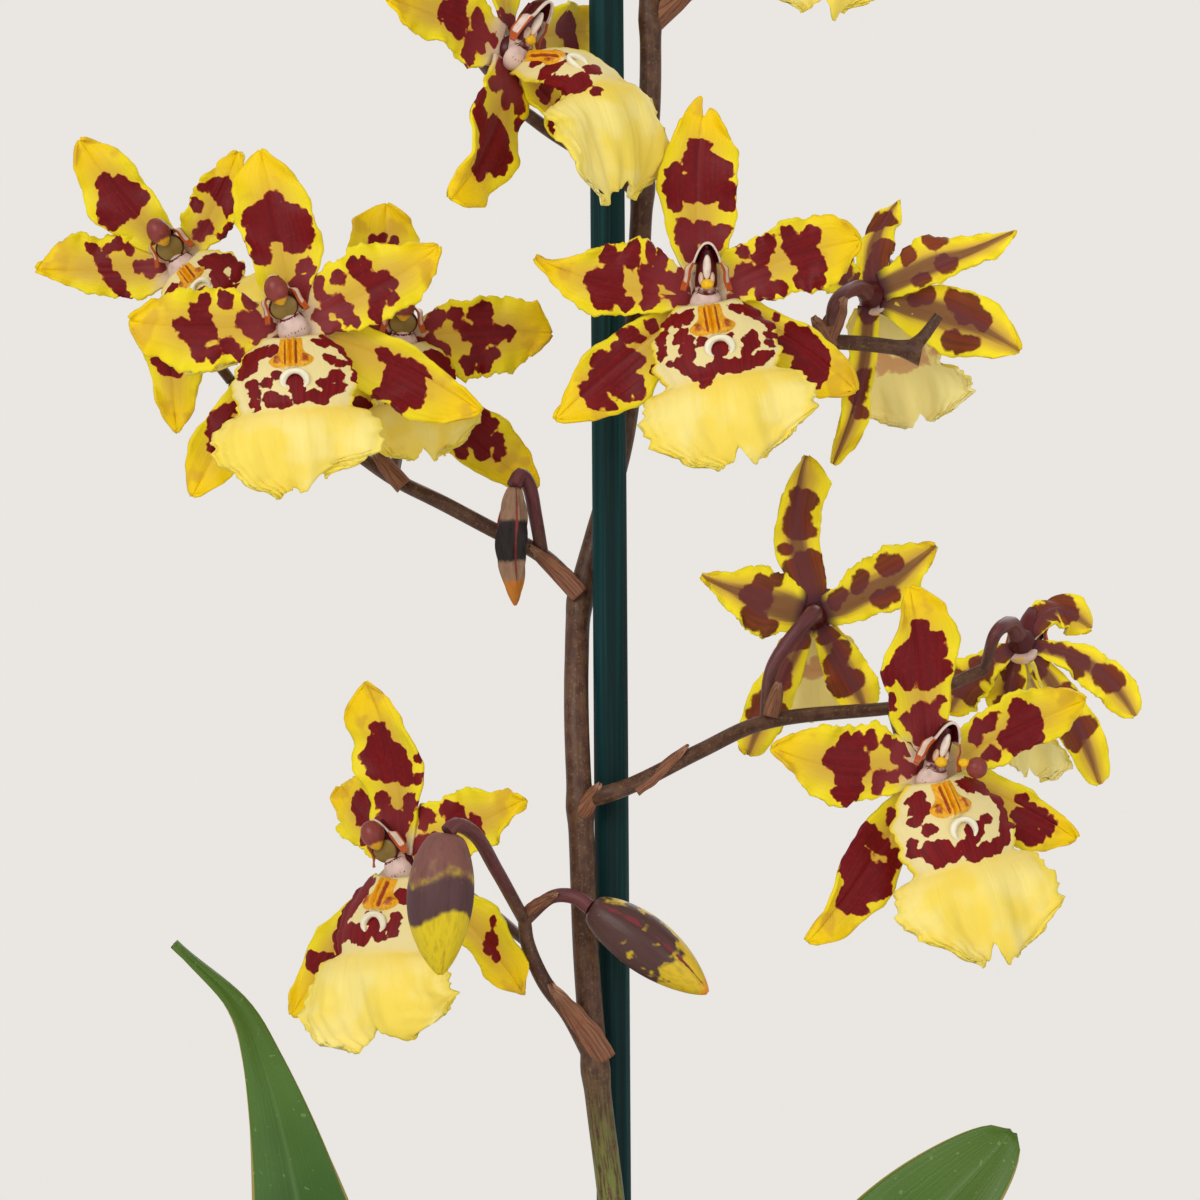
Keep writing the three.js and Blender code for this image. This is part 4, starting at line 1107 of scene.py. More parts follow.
        def shape(u: Array, v: Array) -> Array:
            """Places on the lip."""
            foot = ramp(v, 0.72, 1.0)
            skirt = ramp(v, 0.45, 0.8)
            rim = np.abs(u) ** 4
            notch = 1 - 0.06 * (1 - np.abs(u)) ** 2 * v**4
            scallop = 0.008 * np.sin(5 * u + phase) + 0.006 * np.sin(11 * u + 1.7 * phase)
            scallop += 0.004 * np.sin(27 * u + phase)
            for place, reach in lip.drips:
                scallop += reach * bell(u - place, 0.1 + 1.6 * abs(reach))
            ears = 0.06 * np.abs(u) ** 1.5 * (1 - ramp(v, 0.1, 0.5))
            point, across, out = spine.at(v * notch + scallop * foot - ears)
            half = lip.half(u, v)
            jag = 0.026 * np.sin(41 * v + phase) + 0.022 * np.sin(83 * v + 2 * phase) + 0.012 * np.sin(163 * v)
            wide = u * half * (1 + jag * rim)
            x = u * half
            fold = 0.9 * skirt * np.sin(2.4 * math.pi * u * (1.1 - 0.5 * foot) + lip.scale * 9)
            fold += 0.32 * np.maximum(rim, foot) * np.sin(1.3 * x + 24 * v * rim + phase)
            fold += 0.12 * skirt * np.sin(1.9 * x + 3 * v + phase)
            fold -= 0.7 * ramp(v, 0.55, 1.0) * bell(x - 1.2, 1.3)
            curl = (-0.34 * (1 - skirt) - 0.12 * skirt) * half * u * u
            seam = -0.5 * bell(v - 0.455, 0.03)
            return point + across * wide[:, None] + out * (curl + fold + seam + lift)[:, None]

        return shape

    def paint_lip(self, u: Array, v: Array) -> tuple[Array, Array]:
        """Attributes of the lip."""
        half = self.lip.half(u, v)
        length = float(np.linalg.norm(self.lip.tip)) * LIP_STRETCH
        depth = mark_field(self.lip.marks or LIP_MARKS, u, v, half, length)
        edge = np.minimum(half * (1 - np.abs(u)), length * (1 - v) + 0.3)
        seed = np.full(u.shape, 5.0 * self.seed)
        return rows(u, v, depth), rows(seed, edge)

    def column_axes(self) -> tuple[Array, Array, Array]:
        """The column's sideways, lengthwise and forward directions."""
        rise = square_to(np.array(self.column, float), self.facing)
        axis = unit(0.92 * rise + 0.39 * self.facing)
        side = unit(np.cross(axis, self.facing))
        return side, axis, np.cross(side, axis)


@dataclass(frozen=True)
class FlowerFinishes:
    """The finishes that all blooms share."""

    front: Material
    back: Material
    lip: Material
    lip_back: Material
    column: Material
    cap: Material
    wing: Material
    callus: Material
    crest: Material

    @classmethod
    def build(cls) -> FlowerFinishes:
        """Makes each finish once."""
        return cls(
            PetalFinish().material(),
            PetalBackFinish().material(),
            LipFinish().material(),
            LipBackFinish().material(),
            TissueFinish(
                "column_waxy_tissue", "dcbfb2", "5a0a12", "ead8c8", "eeb90e",
                roughness=0.4, grit=0.9, soft=0.14, streak=0.12,
            ).material(),
            TissueFinish(
                "cap_waxy_tissue", "8a3a34", "4e1014", "dca524", "836a2c",
                roughness=0.34, grit=0.9, soft=0.2, streak=0.15, gloss=0.3,
            ).material(),
            TissueFinish(
                "hood_thin_tissue", "e3cdbc", "480810", "b4501a", "d98a2a",
                roughness=0.36, grit=0.8, soft=0.16, streak=0.1,
            ).material(),
            TissueFinish(
                "callus_warty_tissue", "f2ae14", "a03c12", "f3cf4e", "ecdc9c",
                roughness=0.4, grit=0.7, soft=0.2, streak=0.2,
            ).material(),
            TissueFinish(
                "crest_ivory_tissue", "f0e8cc", "e9dc9c", "f6f1e2", "7d0c12",
                roughness=0.38, grit=0.8, soft=0.14, streak=0.1,
            ).material(),
        )


@dataclass
class BloomModel:
    """Builds the pieces of one bloom.

    Args:
        bloom: the flower.
        finishes: the shared finishes.
    """

    bloom: Bloom
    finishes: FlowerFinishes

    def build(self) -> None:
        """Makes the tepals, the lip, the callus and the column."""
        self._tepals()
        self._lip()
        self._callus()
        self._column()

    def _tepals(self) -> None:
        """The five outer blades as one piece of five sheets."""
        form = Form(f"{self.bloom.name}_petals")
        for part in self.bloom.tepals:
            form.sheet(self.bloom.tepal_shape(part), self.bloom.paint_tepal(part), *TEPAL_GRID)
        skins = [self.finishes.front, self.finishes.back]
        form.settle(skins, [f"{self.bloom.name}_tepals"], wall=TEPAL_WALL)

    def _lip(self) -> None:
        """The lip as one sheet."""
        form = Form(f"{self.bloom.name}_skirt")
        form.sheet(self.bloom.lip_shape(), self.bloom.paint_lip, *LIP_GRID)
        skins = [self.finishes.lip, self.finishes.lip_back]
        form.settle(skins, [f"{self.bloom.name}_lip"], wall=LIP_WALL)

    def _callus(self) -> None:
        """The ridged orange pad at the neck of the lip and the ivory horseshoe below it."""
        bloom = self.bloom
        form = Form(f"{bloom.name}_callus")
        size = bloom.lip.scale

        def reach(v: Array) -> Array:
            """Half width of the pad along the lip."""
            bulge = bell(v - 0.72, 0.2)
            return (2.1 + 0.3 * v + 1.9 * bulge) * size * (1 - 0.5 * ramp(v, 0.88, 1.0))

        def lobe(x: Array, v: Array) -> Array:
            """Where its two brown lobes lie."""
            return bell(np.abs(x) - 2.6, 1.1) * ramp(v, 0.4, 0.65)

        def pad(u: Array, v: Array) -> Array:
            """Places on the pad, raised from the lip."""
            along = 0.01 + 0.2 * v
            x = u * reach(v) / size
            across = x * size / (stepped(LIP_OUTLINE, along) * size)
            under, above = (bloom.lip_shape(h)(across, along) for h in (0.2, 1.2))
            ridge = 1.15 * bell(np.abs(x) - 0.55, 0.4) + 0.45 + 0.6 * lobe(x, v)
            warts = 0.16 * np.sin(5.1 * x + 2) * np.sin(21 * v) * ramp(np.abs(x), 0.9, 1.6)
            height = (ridge + warts) * (1 - u**6) * ramp(v, 1.03, 0.86) * ramp(v, -0.06, 0.1)
            return under + (above - under) * height[:, None] * size

        def pad_paint(u: Array, v: Array) -> tuple[Array, Array]:
            """Brown stripes, amber and pale tip."""
            x = u * reach(v) / size
            stripe = bell(np.abs(x) - 0.98, 0.24) + 0.5 * bell(np.abs(x) - 0.2, 0.12)
            brown = stripe * ramp(v, 0.02, 0.2) * ramp(v, 0.98, 0.84) + 0.75 * lobe(x, v) * ramp(v, 0.95, 0.8)
            tint = rows(0.85 * brown, 0.35 * ramp(v, 0.5, 0.9), 0.9 * ramp(v, 0.88, 1.0))
            return rows(3 * x, 6 * v, 4 * v), tint

        form.sheet(pad, pad_paint, *PAD_GRID)
        path = []
        for degrees in (-42, -10, 25, 58, 90, 122, 155, 190, 222):
            a = math.radians(degrees)
            along = CREST_PLACE[0] - CREST_REACH / LIP_LENGTH * math.sin(a)
            across = CREST_PLACE[1] - CREST_REACH / COLLAR_HALF * math.cos(a)
            rise = 0.5 + 0.45 * math.sin(a)
            path.append(tuple(bloom.lip_shape(rise)(np.array([across]), np.array([along]))[0]))
        radii = [r * size for r in (0.2, 0.55, 0.7, 0.6, 0.5, 0.6, 0.7, 0.55, 0.2)]
        form.tube(Curve(tuple(path)), radii, 30, 10, material=1)
        form.settle([self.finishes.callus, self.finishes.crest])

    def _column(self) -> None:
        """The hub, the pale throat, the stigma with its hollow, and the anther cap."""
        bloom = self.bloom
        heart, facing = np.array(bloom.heart, float), bloom.facing
        form = Form(f"{bloom.name}_column")
        place = turned_in(*bloom.column_axes(), heart)

        def lump(centre: Point, radii: Point, tint: Lay, material: int = 0) -> None:
            """Adds one rounded body."""
            form.ball(lambda b: place(np.array(centre) + b * np.array(radii)), 24, 16, tint, material)

        hub = Curve(tuple(tuple(heart - d * facing) for d in (3.9, 2.6, 1.2, 0.2)))
        form.tube(hub, [1.5, 2.0, 2.6, 2.2], 10, 20, tint=lambda a, v: rows(1 + 0 * v), material=1)
        bend = ((0, -1, 0.4), (0, 3, -0.2), (0, 6, -0.6), (0, 8.6, -0.8))
        post = Curve(tuple(tuple(place(np.array(p, float))) for p in bend))
        form.tube(post, [1.9, 2.0, 1.8, 1.2], 14, 24, tint=lambda a, v: rows(ramp(v, 0.2, 0.4)))
        form.ball(lambda b: place(self._throat(b)), 36, 28, self._throat_tint)
        if bloom.cap is Cap.CLOSED:
            lump((0, 3.5, 1.2), (2.7, 2.4, 1.0), self._hollow_tint, 1)
            form.ball(lambda b: place(np.array([0, 7.0, 2.4]) + self._cap(b)), 32, 24, self._cap_tint, 1)
        else:
            lump((0, 5.9, 1.5), (0.72, 2.3, 0.8), self._plain(0.1, 0.9, 0.0))
            for hand in (-1, 1):
                lump((0.95 * hand, 3.7, 1.1), (0.5, 1.2, 0.9), self._plain(0.38, 0.0, 0.42))
            lump((0.1, 2.9, 1.9), (1.15, 0.95, 0.9), self._plain(0.0, 0.0, 1.0))
            lump((0.1, 1.6, 1.6), (1.7, 0.9, 1.0), self._plain(0.55, 0.0, 0.0))
        if bloom.cap is Cap.FALLEN:
            lump((6.0, 3.9, 4.0), (1.9, 1.9, 1.9), self._plain(0.15, 0.0, 0.0), 1)
            lump((3.8, 4.1, 3.4), (1.2, 0.8, 0.8), self._plain(0.0, 0.0, 1.0))
        form.settle([self.finishes.column, self.finishes.cap])
        self._hood(place)

    @staticmethod
    def _plain(first: float, second: float, third: float) -> Lay:
        """One tint all over a ball."""
        return lambda b: np.tile([first, second, third], (len(b), 1))

    @staticmethod
    def _throat(b: Array) -> Array:
        """The pale foot of the column, wider towards the lip."""
        wide = 1 - 0.22 * b[:, 1]
        deep = np.where(b[:, 2] > 0, 2.1, 0.7) * b[:, 2] * wide
        return np.array([0, -0.6, 0.7]) + rows(2.8 * b[:, 0] * wide, 3.0 * b[:, 1], deep)

    @staticmethod
    def _throat_tint(b: Array) -> Array:
        """A wine-red band with a fringe at the top and short streaks lower down."""
        turn = np.arctan2(b[:, 0], b[:, 2])
        fringe = ramp(b[:, 1] + 0.07 * np.sin(23 * turn), 0.52, 0.68)
        streaks = 0.75 * bell(b[:, 1] + 0.2 + 0.05 * np.sin(9 * turn), 0.1) * (0.5 + 0.5 * np.sin(27 * turn))
        return rows(fringe + streaks * ramp(b[:, 2], 0.3, 0.7), 0, 0.5 * ramp(b[:, 1], -0.75, -0.95))

    @staticmethod
    def _hollow_tint(b: Array) -> Array:
        """The olive hollow of the stigma with its dark rim."""
        out = np.hypot(b[:, 0], b[:, 1])
        return rows(ramp(out, 0.72, 0.9), 0.3 * ramp(b[:, 1], 0.0, 0.4) * (1 - out), 1 - ramp(out, 0.8, 0.95))

    @staticmethod
    def _cap(b: Array) -> Array:
        """The anther cap: an egg with a blunt beak at its lower end."""
        low = ramp(-b[:, 1], 0.15, 1.0)
        deep = 2.2 * b[:, 2] * (1 - 0.3 * low) + 0.5 * low
        return rows(2.1 * b[:, 0] * (1 - 0.35 * low), 2.75 * b[:, 1], deep)

    @staticmethod
    def _cap_tint(b: Array) -> Array:
        """Brick-pink with a darker top and a golden beak."""
        return rows(0.35 * ramp(b[:, 1], 0.3, 1.0), 0.95 * ramp(-b[:, 1] + 0.2 * b[:, 2], 0.3, 0.95))

    def _hood(self, place: Lay) -> None:
        """The arched hood over the stigma, drawn out into a thin wing down each side."""
        form = Form(f"{self.bloom.name}_hood")
        back, wide = (1.4, 0.8) if self.bloom.cap is Cap.CLOSED else (0.0, 0.88)

        def arch(u: Array, v: Array) -> Array:
            """Places on the hood and its wings."""
            t = np.abs(u)
            wing = ramp(t, 0.4, 0.68)
            x = 4.1 * t**0.62 * (1 - 0.45 * (1 - wing) * v * v) + 0.9 * wing * v
            rise = 10.5 - 8.9 * t**1.35 - 1.4 * (1 - wing) * v * v - 0.8 * back * (1 - wing)
            span = (3.4 - back) * (1 - wing) + 1.7 * wing * (1 - 0.6 * ramp(t, 0.85, 1.0))
            front = 2.2 - 0.4 * wing - back * (1 - wing) - span * v
            crimp = 0.14 * wing * np.sin(17 * t + 3 * np.sign(u))
            return place(rows(np.sign(u) * (x * wide + crimp), rise, front + crimp))

        def coat(u: Array, v: Array) -> tuple[Array, Array]:
            """Dark top and amber edges."""
            t = np.abs(u)
            wing = ramp(t, 0.42, 0.6)
            dark = (1 - wing) * ramp(v, 0.1, 0.2)
            amber = wing * np.maximum(ramp(np.abs(v - 0.5), 0.24, 0.4), ramp(t, 0.82, 0.95))
            return rows(3 * u, 3 * v, 6 * t), rows(dark, amber)

        form.sheet(arch, coat, *HOOD_GRID)
        form.settle([self.finishes.wing, self.finishes.wing], wall=HOOD_WALL)


def blades(dorsal: Tepal, petal_l: Tepal, petal_r: Tepal, sepal_l: Tepal, sepal_r: Tepal) -> dict[Part, Tepal]:
    """The five outer blades of a bloom, by name."""
    return dict(zip(Part, (dorsal, petal_l, petal_r, sepal_l, sepal_r)))


BLOOMS: tuple[Bloom, ...] = (
    Bloom("bloom_a", (-18.6, -20, 529), 55, -5, blades(
        Tepal((1, 4, 33), 14, (-2, 0, 0)),
        Tepal((-21.5, -20, 7), 14, (0, 0, 0.4), edges=((4.6, 6, 3.4, 4.2, 3.4), (4.4, 6.2, 7, 6.6, 4)), marks=(
            (0.44, 0.38, 2.4), (0.46, 0.1, 2), (0.53, 0.23, 1.7), (0.37, 0.07, 1.6), (0.39, -0.24, 1.3),
            (0.25, 0.41, 1.7), (0.19, 0.07, 1.8), (0.26, -0.25, 1.7), (0.26, -0.68, 1.7), (0.17, -0.35, 1.2),
            (0.08, 0.09, 1.2),
        )),
        Tepal((17, 35, 7), 13, (-2, 2, 1)),
        Tepal((-11, -11, -27), 12.6, (2.8, 1, 0), edges=((5, 6.4, 6.8, 7.4, 6.6), (4.6, 7.4, 8.6, 3.6, 3)), marks=(
            (0.12, 0.04, 3.5), (0.25, 0.61, 2), (0.43, 0.96, 1.8), (0.19, -0.29, 2.6), (0.29, -0.11, 1.5),
            (0.27, -0.7, 1.2), (0.36, -0.85, 1.3), (0.53, 0.62, 1.8), (0.5, 0.04, 2.5), (0.53, 0.83, 1),
            (0.59, 0.15, 2.4), (0.51, -0.3, 1.9), (0.61, -0.15, 2.5), (0.59, -0.49, 1.9), (0.69, -0.16, 2.2),
            (0.66, -0.59, 1.7), (0.76, -0.2, 1.5),
        )),
        Tepal((13, 6, -16), 11, (0, 1, -0.4)),
    ), Lip(
        (19.3, -13, -27.4), 0.86, (5, -4, 7), 0, 12, -60, 1.5, drips=((0.7, 0.02),), trim=(-0.8, -0.8),
        slim=0.42,
        marks=((0.19, 0.44, 1.8), (0.19, 0.69, 1.4), (0.18, 0.04, 2), (0.08, 0.26, 1.2), (0.37, -0.14, 1.6),
            (0.26, 0.94, 1.4), (0.33, 0.89, 1.8), (0.4, 0.69, 1.8), (0.45, 0.39, 1.8), (0.52, 0.19, 1.2),
            (0.39, 0.43, 1.7)),
    ), (0.3, 0, 1), 1, cap=Cap.GONE),
    Bloom("bloom_b", (15, -24, 485.3), 2, 2, blades(
        Tepal((0.2, 3, 35.5), 15.2, (-2, -1, 0), edges=((2.9, 5, 6.5, 5.2, 3.4), (4.2, 6.4, 7.4, 6.9, 5.2)),
            cleft=(0.1, 0.05), marks=(
            (0.74, 0.04, 2), (0.65, 0.11, 2.9), (0.62, 0.46, 2.3), (0.59, -0.59, 1.5), (0.61, 0.73, 1.6),
            (0.51, -0.62, 1.6), (0.51, -0.21, 2.7), (0.52, 0.28, 3.3), (0.5, 0.73, 2), (0.44, -0.57, 1.7),
            (0.43, 0.76, 1.6), (0.3, -0.42, 1.9), (0.28, 0.14, 2.1), (0.26, 0.64, 1.8), (0.23, -0.34, 1.7),
            (0.21, 0.44, 2), (0.17, -0.34, 1.3),
        )),
        Tepal((-30, 1, 7), 13, (0, -1, -1.8), edges=((2.2, 3.6, 5.3, 5.4, 2), (5, 8.2, 8.6, 4.4, 0.5)), marks=(
            (0.59, 0.74, 1.7), (0.53, 0.54, 1.9), (0.44, 0.76, 1.5), (0.43, 0.53, 1.4), (0.62, 0.03, 2),
            (0.53, 0.12, 2.4), (0.58, -0.32, 1.7), (0.53, -0.56, 1.7), (0.49, -0.32, 1.7), (0.41, -0.59, 1.3),
            (0.31, 0.85, 1.2), (0.23, 0.89, 1.4), (0.29, 0.71, 1.1), (0.31, 0.34, 1.7), (0.23, 0.45, 1.7),
            (0.28, 0.07, 1.6), (0.29, -0.56, 1.2), (0.25, -0.38, 1), (0.15, 0.38, 1.7), (0.08, 0.25, 1.5),
            (0.08, 0.84, 1), (0.12, -0.47, 1), (0.06, -0.51, 1),
        )),
        Tepal((27.2, 1, 10), 13.2, (-1, -1, 1.2), edges=((4.5, 5.2, 5.3, 6, 5), (3.2, 5.3, 6.2, 7.1, 5.3)), marks=(
            (0.58, -0.65, 1.1), (0.59, -0.29, 1.8), (0.71, -0.41, 1.8), (0.64, 0, 2.8), (0.68, 0.38, 2.2),
            (0.59, 0.71, 1.9), (0.67, 0.74, 1.6), (0.29, -0.74, 1.1), (0.43, -0.62, 1.8), (0.38, -0.36, 1.5),
            (0.47, -0.69, 0.9), (0.24, 0.04, 2.3), (0.33, 0.2, 1.7), (0.16, 0.26, 1.9), (0.32, 0.68, 1.8),
            (0.41, 0.69, 1.4), (0.26, 0.83, 0.9), (0.09, 0.75, 1.2),
        )),
        Tepal((-26.5, 2, -21.5), 13.4, (0.5, 1, 1.5), edges=((3, 5, 7.4, 8, 4.4), (2.8, 3, 4.4, 4.6, 1.8)), marks=(
            (0.43, 0.53, 1.5), (0.46, 0.75, 0.9), (0.4, 0.23, 0.8), (0.53, 0.43, 1.3), (0.64, 0.43, 1.9),
            (0.56, -0.07, 2.6), (0.49, -0.21, 1.5), (0.7, 0, 2), (0.64, -0.29, 2.8), (0.78, -0.05, 1.5),
            (0.78, -0.42, 1.8), (0.76, -0.7, 1.1), (0.59, -0.55, 2.1), (0.66, -0.65, 1.4), (0.59, -0.78, 1.2),
            (0.45, -0.7, 0.7), (0.45, -0.85, 0.6), (0.3, 0.39, 1.3),
        )),
        Tepal((26.5, 2, -16.5), 13.6, (0.5, 1, 1.8),
            edges=((3, 2.6, 2.8, 3.5, 2.6), (3.4, 4.4, 5.4, 5.6, 5.8)), marks=(
            (0.49, -0.46, 1.1), (0.57, -0.51, 1.4), (0.54, 0.12, 2.2), (0.64, -0.05, 2.6), (0.73, -0.01, 1.7),
            (0.68, 0.5, 2.3), (0.78, 0.39, 1.6), (0.79, 0.65, 1.2), (0.48, 0.2, 1), (0.38, -0.68, 0.7),
        )),
    ), Lip(
        (6.5, -8, -29.5), 1.0, (-0.6, 0, 0),
        marks=((0.08, 0.9, 1.2), (0.08, 0.66, 1.3), (0.05, 0.53, 0.9), (0.08, 0.49, 1.1), (0.06, -0.59, 1),
            (0.08, -0.8, 1.4), (0.08, -1, 1.7), (0.14, -1, 1.9), (0.18, -0.93, 0.9), (0.15, 0.89, 0.8),
            (0.19, 0.84, 0.6), (0.24, 0.85, 0.8), (0.27, 0.9, 0.6), (0.32, 0.76, 0.5), (0.24, -0.88, 0.8),
            (0.24, -0.95, 0.6), (0.29, -0.85, 0.8), (0.36, -0.8, 0.8), (0.17, 0.53, 1.1), (0.2, 0.56, 0.9),
            (0.2, 0.4, 0.9), (0.25, 0.46, 1.2), (0.3, 0.45, 1.1), (0.33, 0.58, 1.2), (0.23, 0.2, 1),
            (0.22, -0.25, 0.6), (0.23, -0.62, 0.9), (0.26, -0.52, 1), (0.29, -0.57, 1.3), (0.33, -0.45, 1),
            (0.36, -0.66, 0.8), (0.29, -0.04, 1.6), (0.35, -0.01, 0.6), (0.37, 0.5, 1.3), (0.41, 0.39, 1.5),
            (0.44, 0.25, 1.4), (0.48, 0.23, 1), (0.39, 0.11, 1.1), (0.4, -0.05, 1.5), (0.41, -0.24, 1.6),
            (0.4, -0.45, 1.5), (0.39, -0.66, 1.2)),
    ), seed=2, cap=Cap.GONE),
    Bloom("bloom_c", (-58, -22, 480.8), -3, 4, blades(
        Tepal((-5.5, 2, 30.5), 16.4, (0.6, -1, 0),
            edges=((3.9, 4.9, 6.1, 6.8, 5.7), (3.5, 6.7, 7.1, 5.8, 3.3)), marks=(
            (0.69, 0.03, 1.6), (0.64, -0.15, 2.1), (0.64, -0.5, 1.6), (0.61, -0.66, 1.2), (0.6, 0.14, 2.4),
            (0.59, 0.54, 1.5), (0.53, 0.59, 2.4), (0.45, 0.61, 1.7), (0.41, 0.31, 1.6), (0.52, -0.01, 2.5),
            (0.52, -0.46, 2.3), (0.46, -0.64, 2), (0.38, -0.65, 1.8), (0.39, 0.5, 1.1), (0.27, 0.6, 1.2),
            (0.24, 0.83, 0.9), (0.24, 0.46, 0.7), (0.16, 0.5, 1.8), (0.11, 0.86, 1.3), (0.06, 0.76, 0.9),
        )),
        Tepal((-28.5, 1, 0.5), 14.6, (0, -1, -1), edges=((3.8, 5.9, 7.9, 7.2, 5.1), (3.6, 6.3, 6.8, 5.8, 4)), marks=(
            (0.36, 0.69, 1.4), (0.51, 0.68, 1.3), (0.56, 0.48, 1.4), (0.53, 0.24, 1.9), (0.66, 0, 1.4),
            (0.61, -0.09, 1.6), (0.51, -0.1, 2.1), (0.44, -0.14, 1), (0.56, -0.39, 1.1), (0.52, -0.59, 1.4),
            (0.43, -0.65, 1.4), (0.35, -0.52, 1.5), (0.28, -0.81, 0.9), (0.2, 0.88, 1.3), (0.24, 0.19, 1.6),
            (0.2, -0.15, 1.3), (0.17, 0.3, 1.2), (0.09, -0.06, 1.4), (0.14, -0.55, 1.2), (0.06, -1, 1),
        )),
        Tepal((26, 1, 13.5), 14.4, (1, -1, -1), edges=((4.6, 7.4, 7.9, 6, 2.5), (4, 5, 5.8, 5.6, 2.9)), marks=(
            (0.44, -0.66, 1.3), (0.51, -0.57, 1.1), (0.46, -0.42, 1.3), (0.5, -0.15, 1.5), (0.58, -0.09, 1.4),
            (0.61, 0.11, 1.1), (0.51, 0.2, 1.7), (0.56, 0.53, 1), (0.46, 0.46, 1.3), (0.43, 0.68, 1.4),
            (0.31, -0.62, 1.4), (0.17, -0.79, 1.1), (0.16, -0.51, 0.9), (0.25, -0.1, 1.3), (0.19, -0.14, 1.5),
            (0.26, 0.23, 1.5), (0.28, 0.69, 1.2), (0.11, 0.16, 1.3), (0.16, 0.86, 1.5),
        )),
        Tepal((-17.5, 3, -30.5), 12.4, (-0.5, 1, 0.5),
            edges=((2.3, 5.1, 5.5, 5.8, 3.5), (1.2, 1.9, 3.8, 4.4, 3.6)), marks=(
            (0.48, 0.16, 1.2), (0.53, 0.49, 1.5), (0.59, 0.59, 1.6), (0.57, 0.14, 1.5), (0.65, 0.44, 1.3),
            (0.64, 0.01, 1.9), (0.71, 0.05, 1.5), (0.69, -0.29, 1.6), (0.74, -0.2, 1),
        )),
        Tepal((33.5, 2, -15.5), 14, (0.6, 1, 1.5), edges=((3.2, 3.6, 3.6, 2.4, 1.2), (4, 6, 7.4, 7.6, 5.6)), marks=(
            (0.43, -0.06, 1.3), (0.45, -0.15, 0.7), (0.52, 0.14, 1.9), (0.58, 0.06, 1.7), (0.64, 0.15, 1.4),
            (0.53, 0.41, 2.1), (0.61, 0.4, 2.7), (0.68, 0.35, 1.4), (0.53, 0.73, 1.7), (0.49, 0.89, 1),
            (0.62, 0.78, 2.1), (0.69, 0.62, 1.3),
        )),
    ), Lip(
        (2.2, -8, -30.5), 0.98, drop=3.2, drips=((0.0, 0.03), (-0.75, -0.13)), trim=(0.1, 0.0),
        marks=((0.17, 0.75, 1.7), (0.12, 0.79, 1.5), (0.09, 0.65, 1.6), (0.08, 0.41, 1.2), (0.21, 0.83, 1.1),
            (0.28, 0.64, 1), (0.34, 0.62, 1.1), (0.39, 0.68, 0.9), (0.43, 0.62, 0.6), (0.06, -1, 1.5),
            (0.06, -0.93, 1.3), (0.06, -0.69, 1), (0.12, -1, 0.9), (0.16, -1, 0.7), (0.18, -1, 0.8),
            (0.24, -1, 0.8), (0.28, -1, 0.8), (0.28, -0.04, 1.6), (0.33, -0.1, 1.4), (0.39, -0.11, 1.2),
            (0.28, 0.4, 1.1), (0.24, 0.24, 1), (0.39, 0.35, 1.6), (0.41, 0.16, 1.4), (0.38, -0.35, 1.3),
            (0.41, -0.5, 1.1), (0.31, -0.51, 1.2), (0.27, -0.7, 1.3), (0.34, -0.74, 1.1), (0.36, -0.61, 1.3),
            (0.16, -0.66, 1), (0.19, -0.8, 0.8)),
    ), column=(-0.4, 0, 1), seed=3),
    Bloom("bloom_d", (-79.5, 6, 493), -12, 8, blades(
        Tepal((-18.5, 2, 22.5), 14, (-0.4, 0, -0.6), edges=((2, 4.4, 6.6, 5.5, 3.2), (2.8, 4, 4.8, 5.1, 3.6)), marks=(
            (0.68, -0.12, 1.6), (0.61, 0.24, 1.8), (0.58, -0.2, 2.4), (0.52, 0.34, 2.1), (0.44, 0.51, 1.5),
            (0.54, -0.54, 1.7), (0.46, -0.31, 2), (0.43, 0, 1.6), (0.49, -0.85, 0.9), (0.44, -0.79, 1),
        )),
        Tepal((-26.5, 3, -1), 13.2, (0, 0, -0.4), edges=((4.6, 5.6, 4.8, 3.2, 1.4), (4.3, 5.4, 6, 6.2, 4.2)), marks=(
            (0.59, 0.64, 1.1), (0.54, 0.35, 1.3), (0.47, 0.59, 1), (0.49, 0.03, 1.4), (0.44, -0.36, 1.5),
            (0.48, 0.21, 0.9), (0.39, -0.62, 1.4), (0.36, -0.94, 1.1), (0.38, 0.73, 1.1), (0.31, 0.6, 0.9),
            (0.24, 0.04, 1.2), (0.16, -0.06, 1.5), (0.09, -0.1, 1.1),
        )),
        Tepal((10.5, -2, 20), 11, (0, 0, -1), edges=((2.1, 4.2, 4.6, 3.8, 2.5), (2.1, 3.5, 5.6, 4.4, 3.1)), marks=(
            (0.63, -0.66, 1), (0.7, -0.38, 1.2), (0.73, 0.07, 1.3), (0.64, 0.04, 1.8), (0.62, 0.5, 1.5),
            (0.55, 0.58, 1), (0.46, -0.64, 1.3), (0.33, 0.12, 1.4), (0.23, -0.02, 1.3), (0.34, 1, 1),
            (0.43, 1, 1),
        )),
        Tepal((-1, 5, -30.5), 11.6, (-1.5, 1, 0), edges=((2.2, 3.7, 6.2, 5.3, 3.1), (2.2, 3.7, 5.4, 2.9, 2.2)),
            marks=((0.54, 0.59, 1.1), (0.58, 0.28, 1.5), (0.6, -0.14, 1.3))),
        Tepal((20, 0, -12), 11, (0, 1, 0)),
    ), Lip((13.5, -6, -16.5), 0.78, arch=2.5), (-0.6, 0, 1), 4),
    Bloom("bloom_e", (-39.4, 7, 479.4), 4, 2, blades(
        Tepal((-3, 2, 24.5), 15.5, (-1, -1, 0), edges=((2.8, 4.8, 7.5, 6.5, 5.7), (2.8, 4.8, 6.1, 5.4, 4.5)),
            marks=((0.71, -0.34, 1), (0.73, -0.06, 0.8), (0.69, 0.25, 1))),
        Tepal((-21, 2, 6), 12.6, (0, -1, 0)),
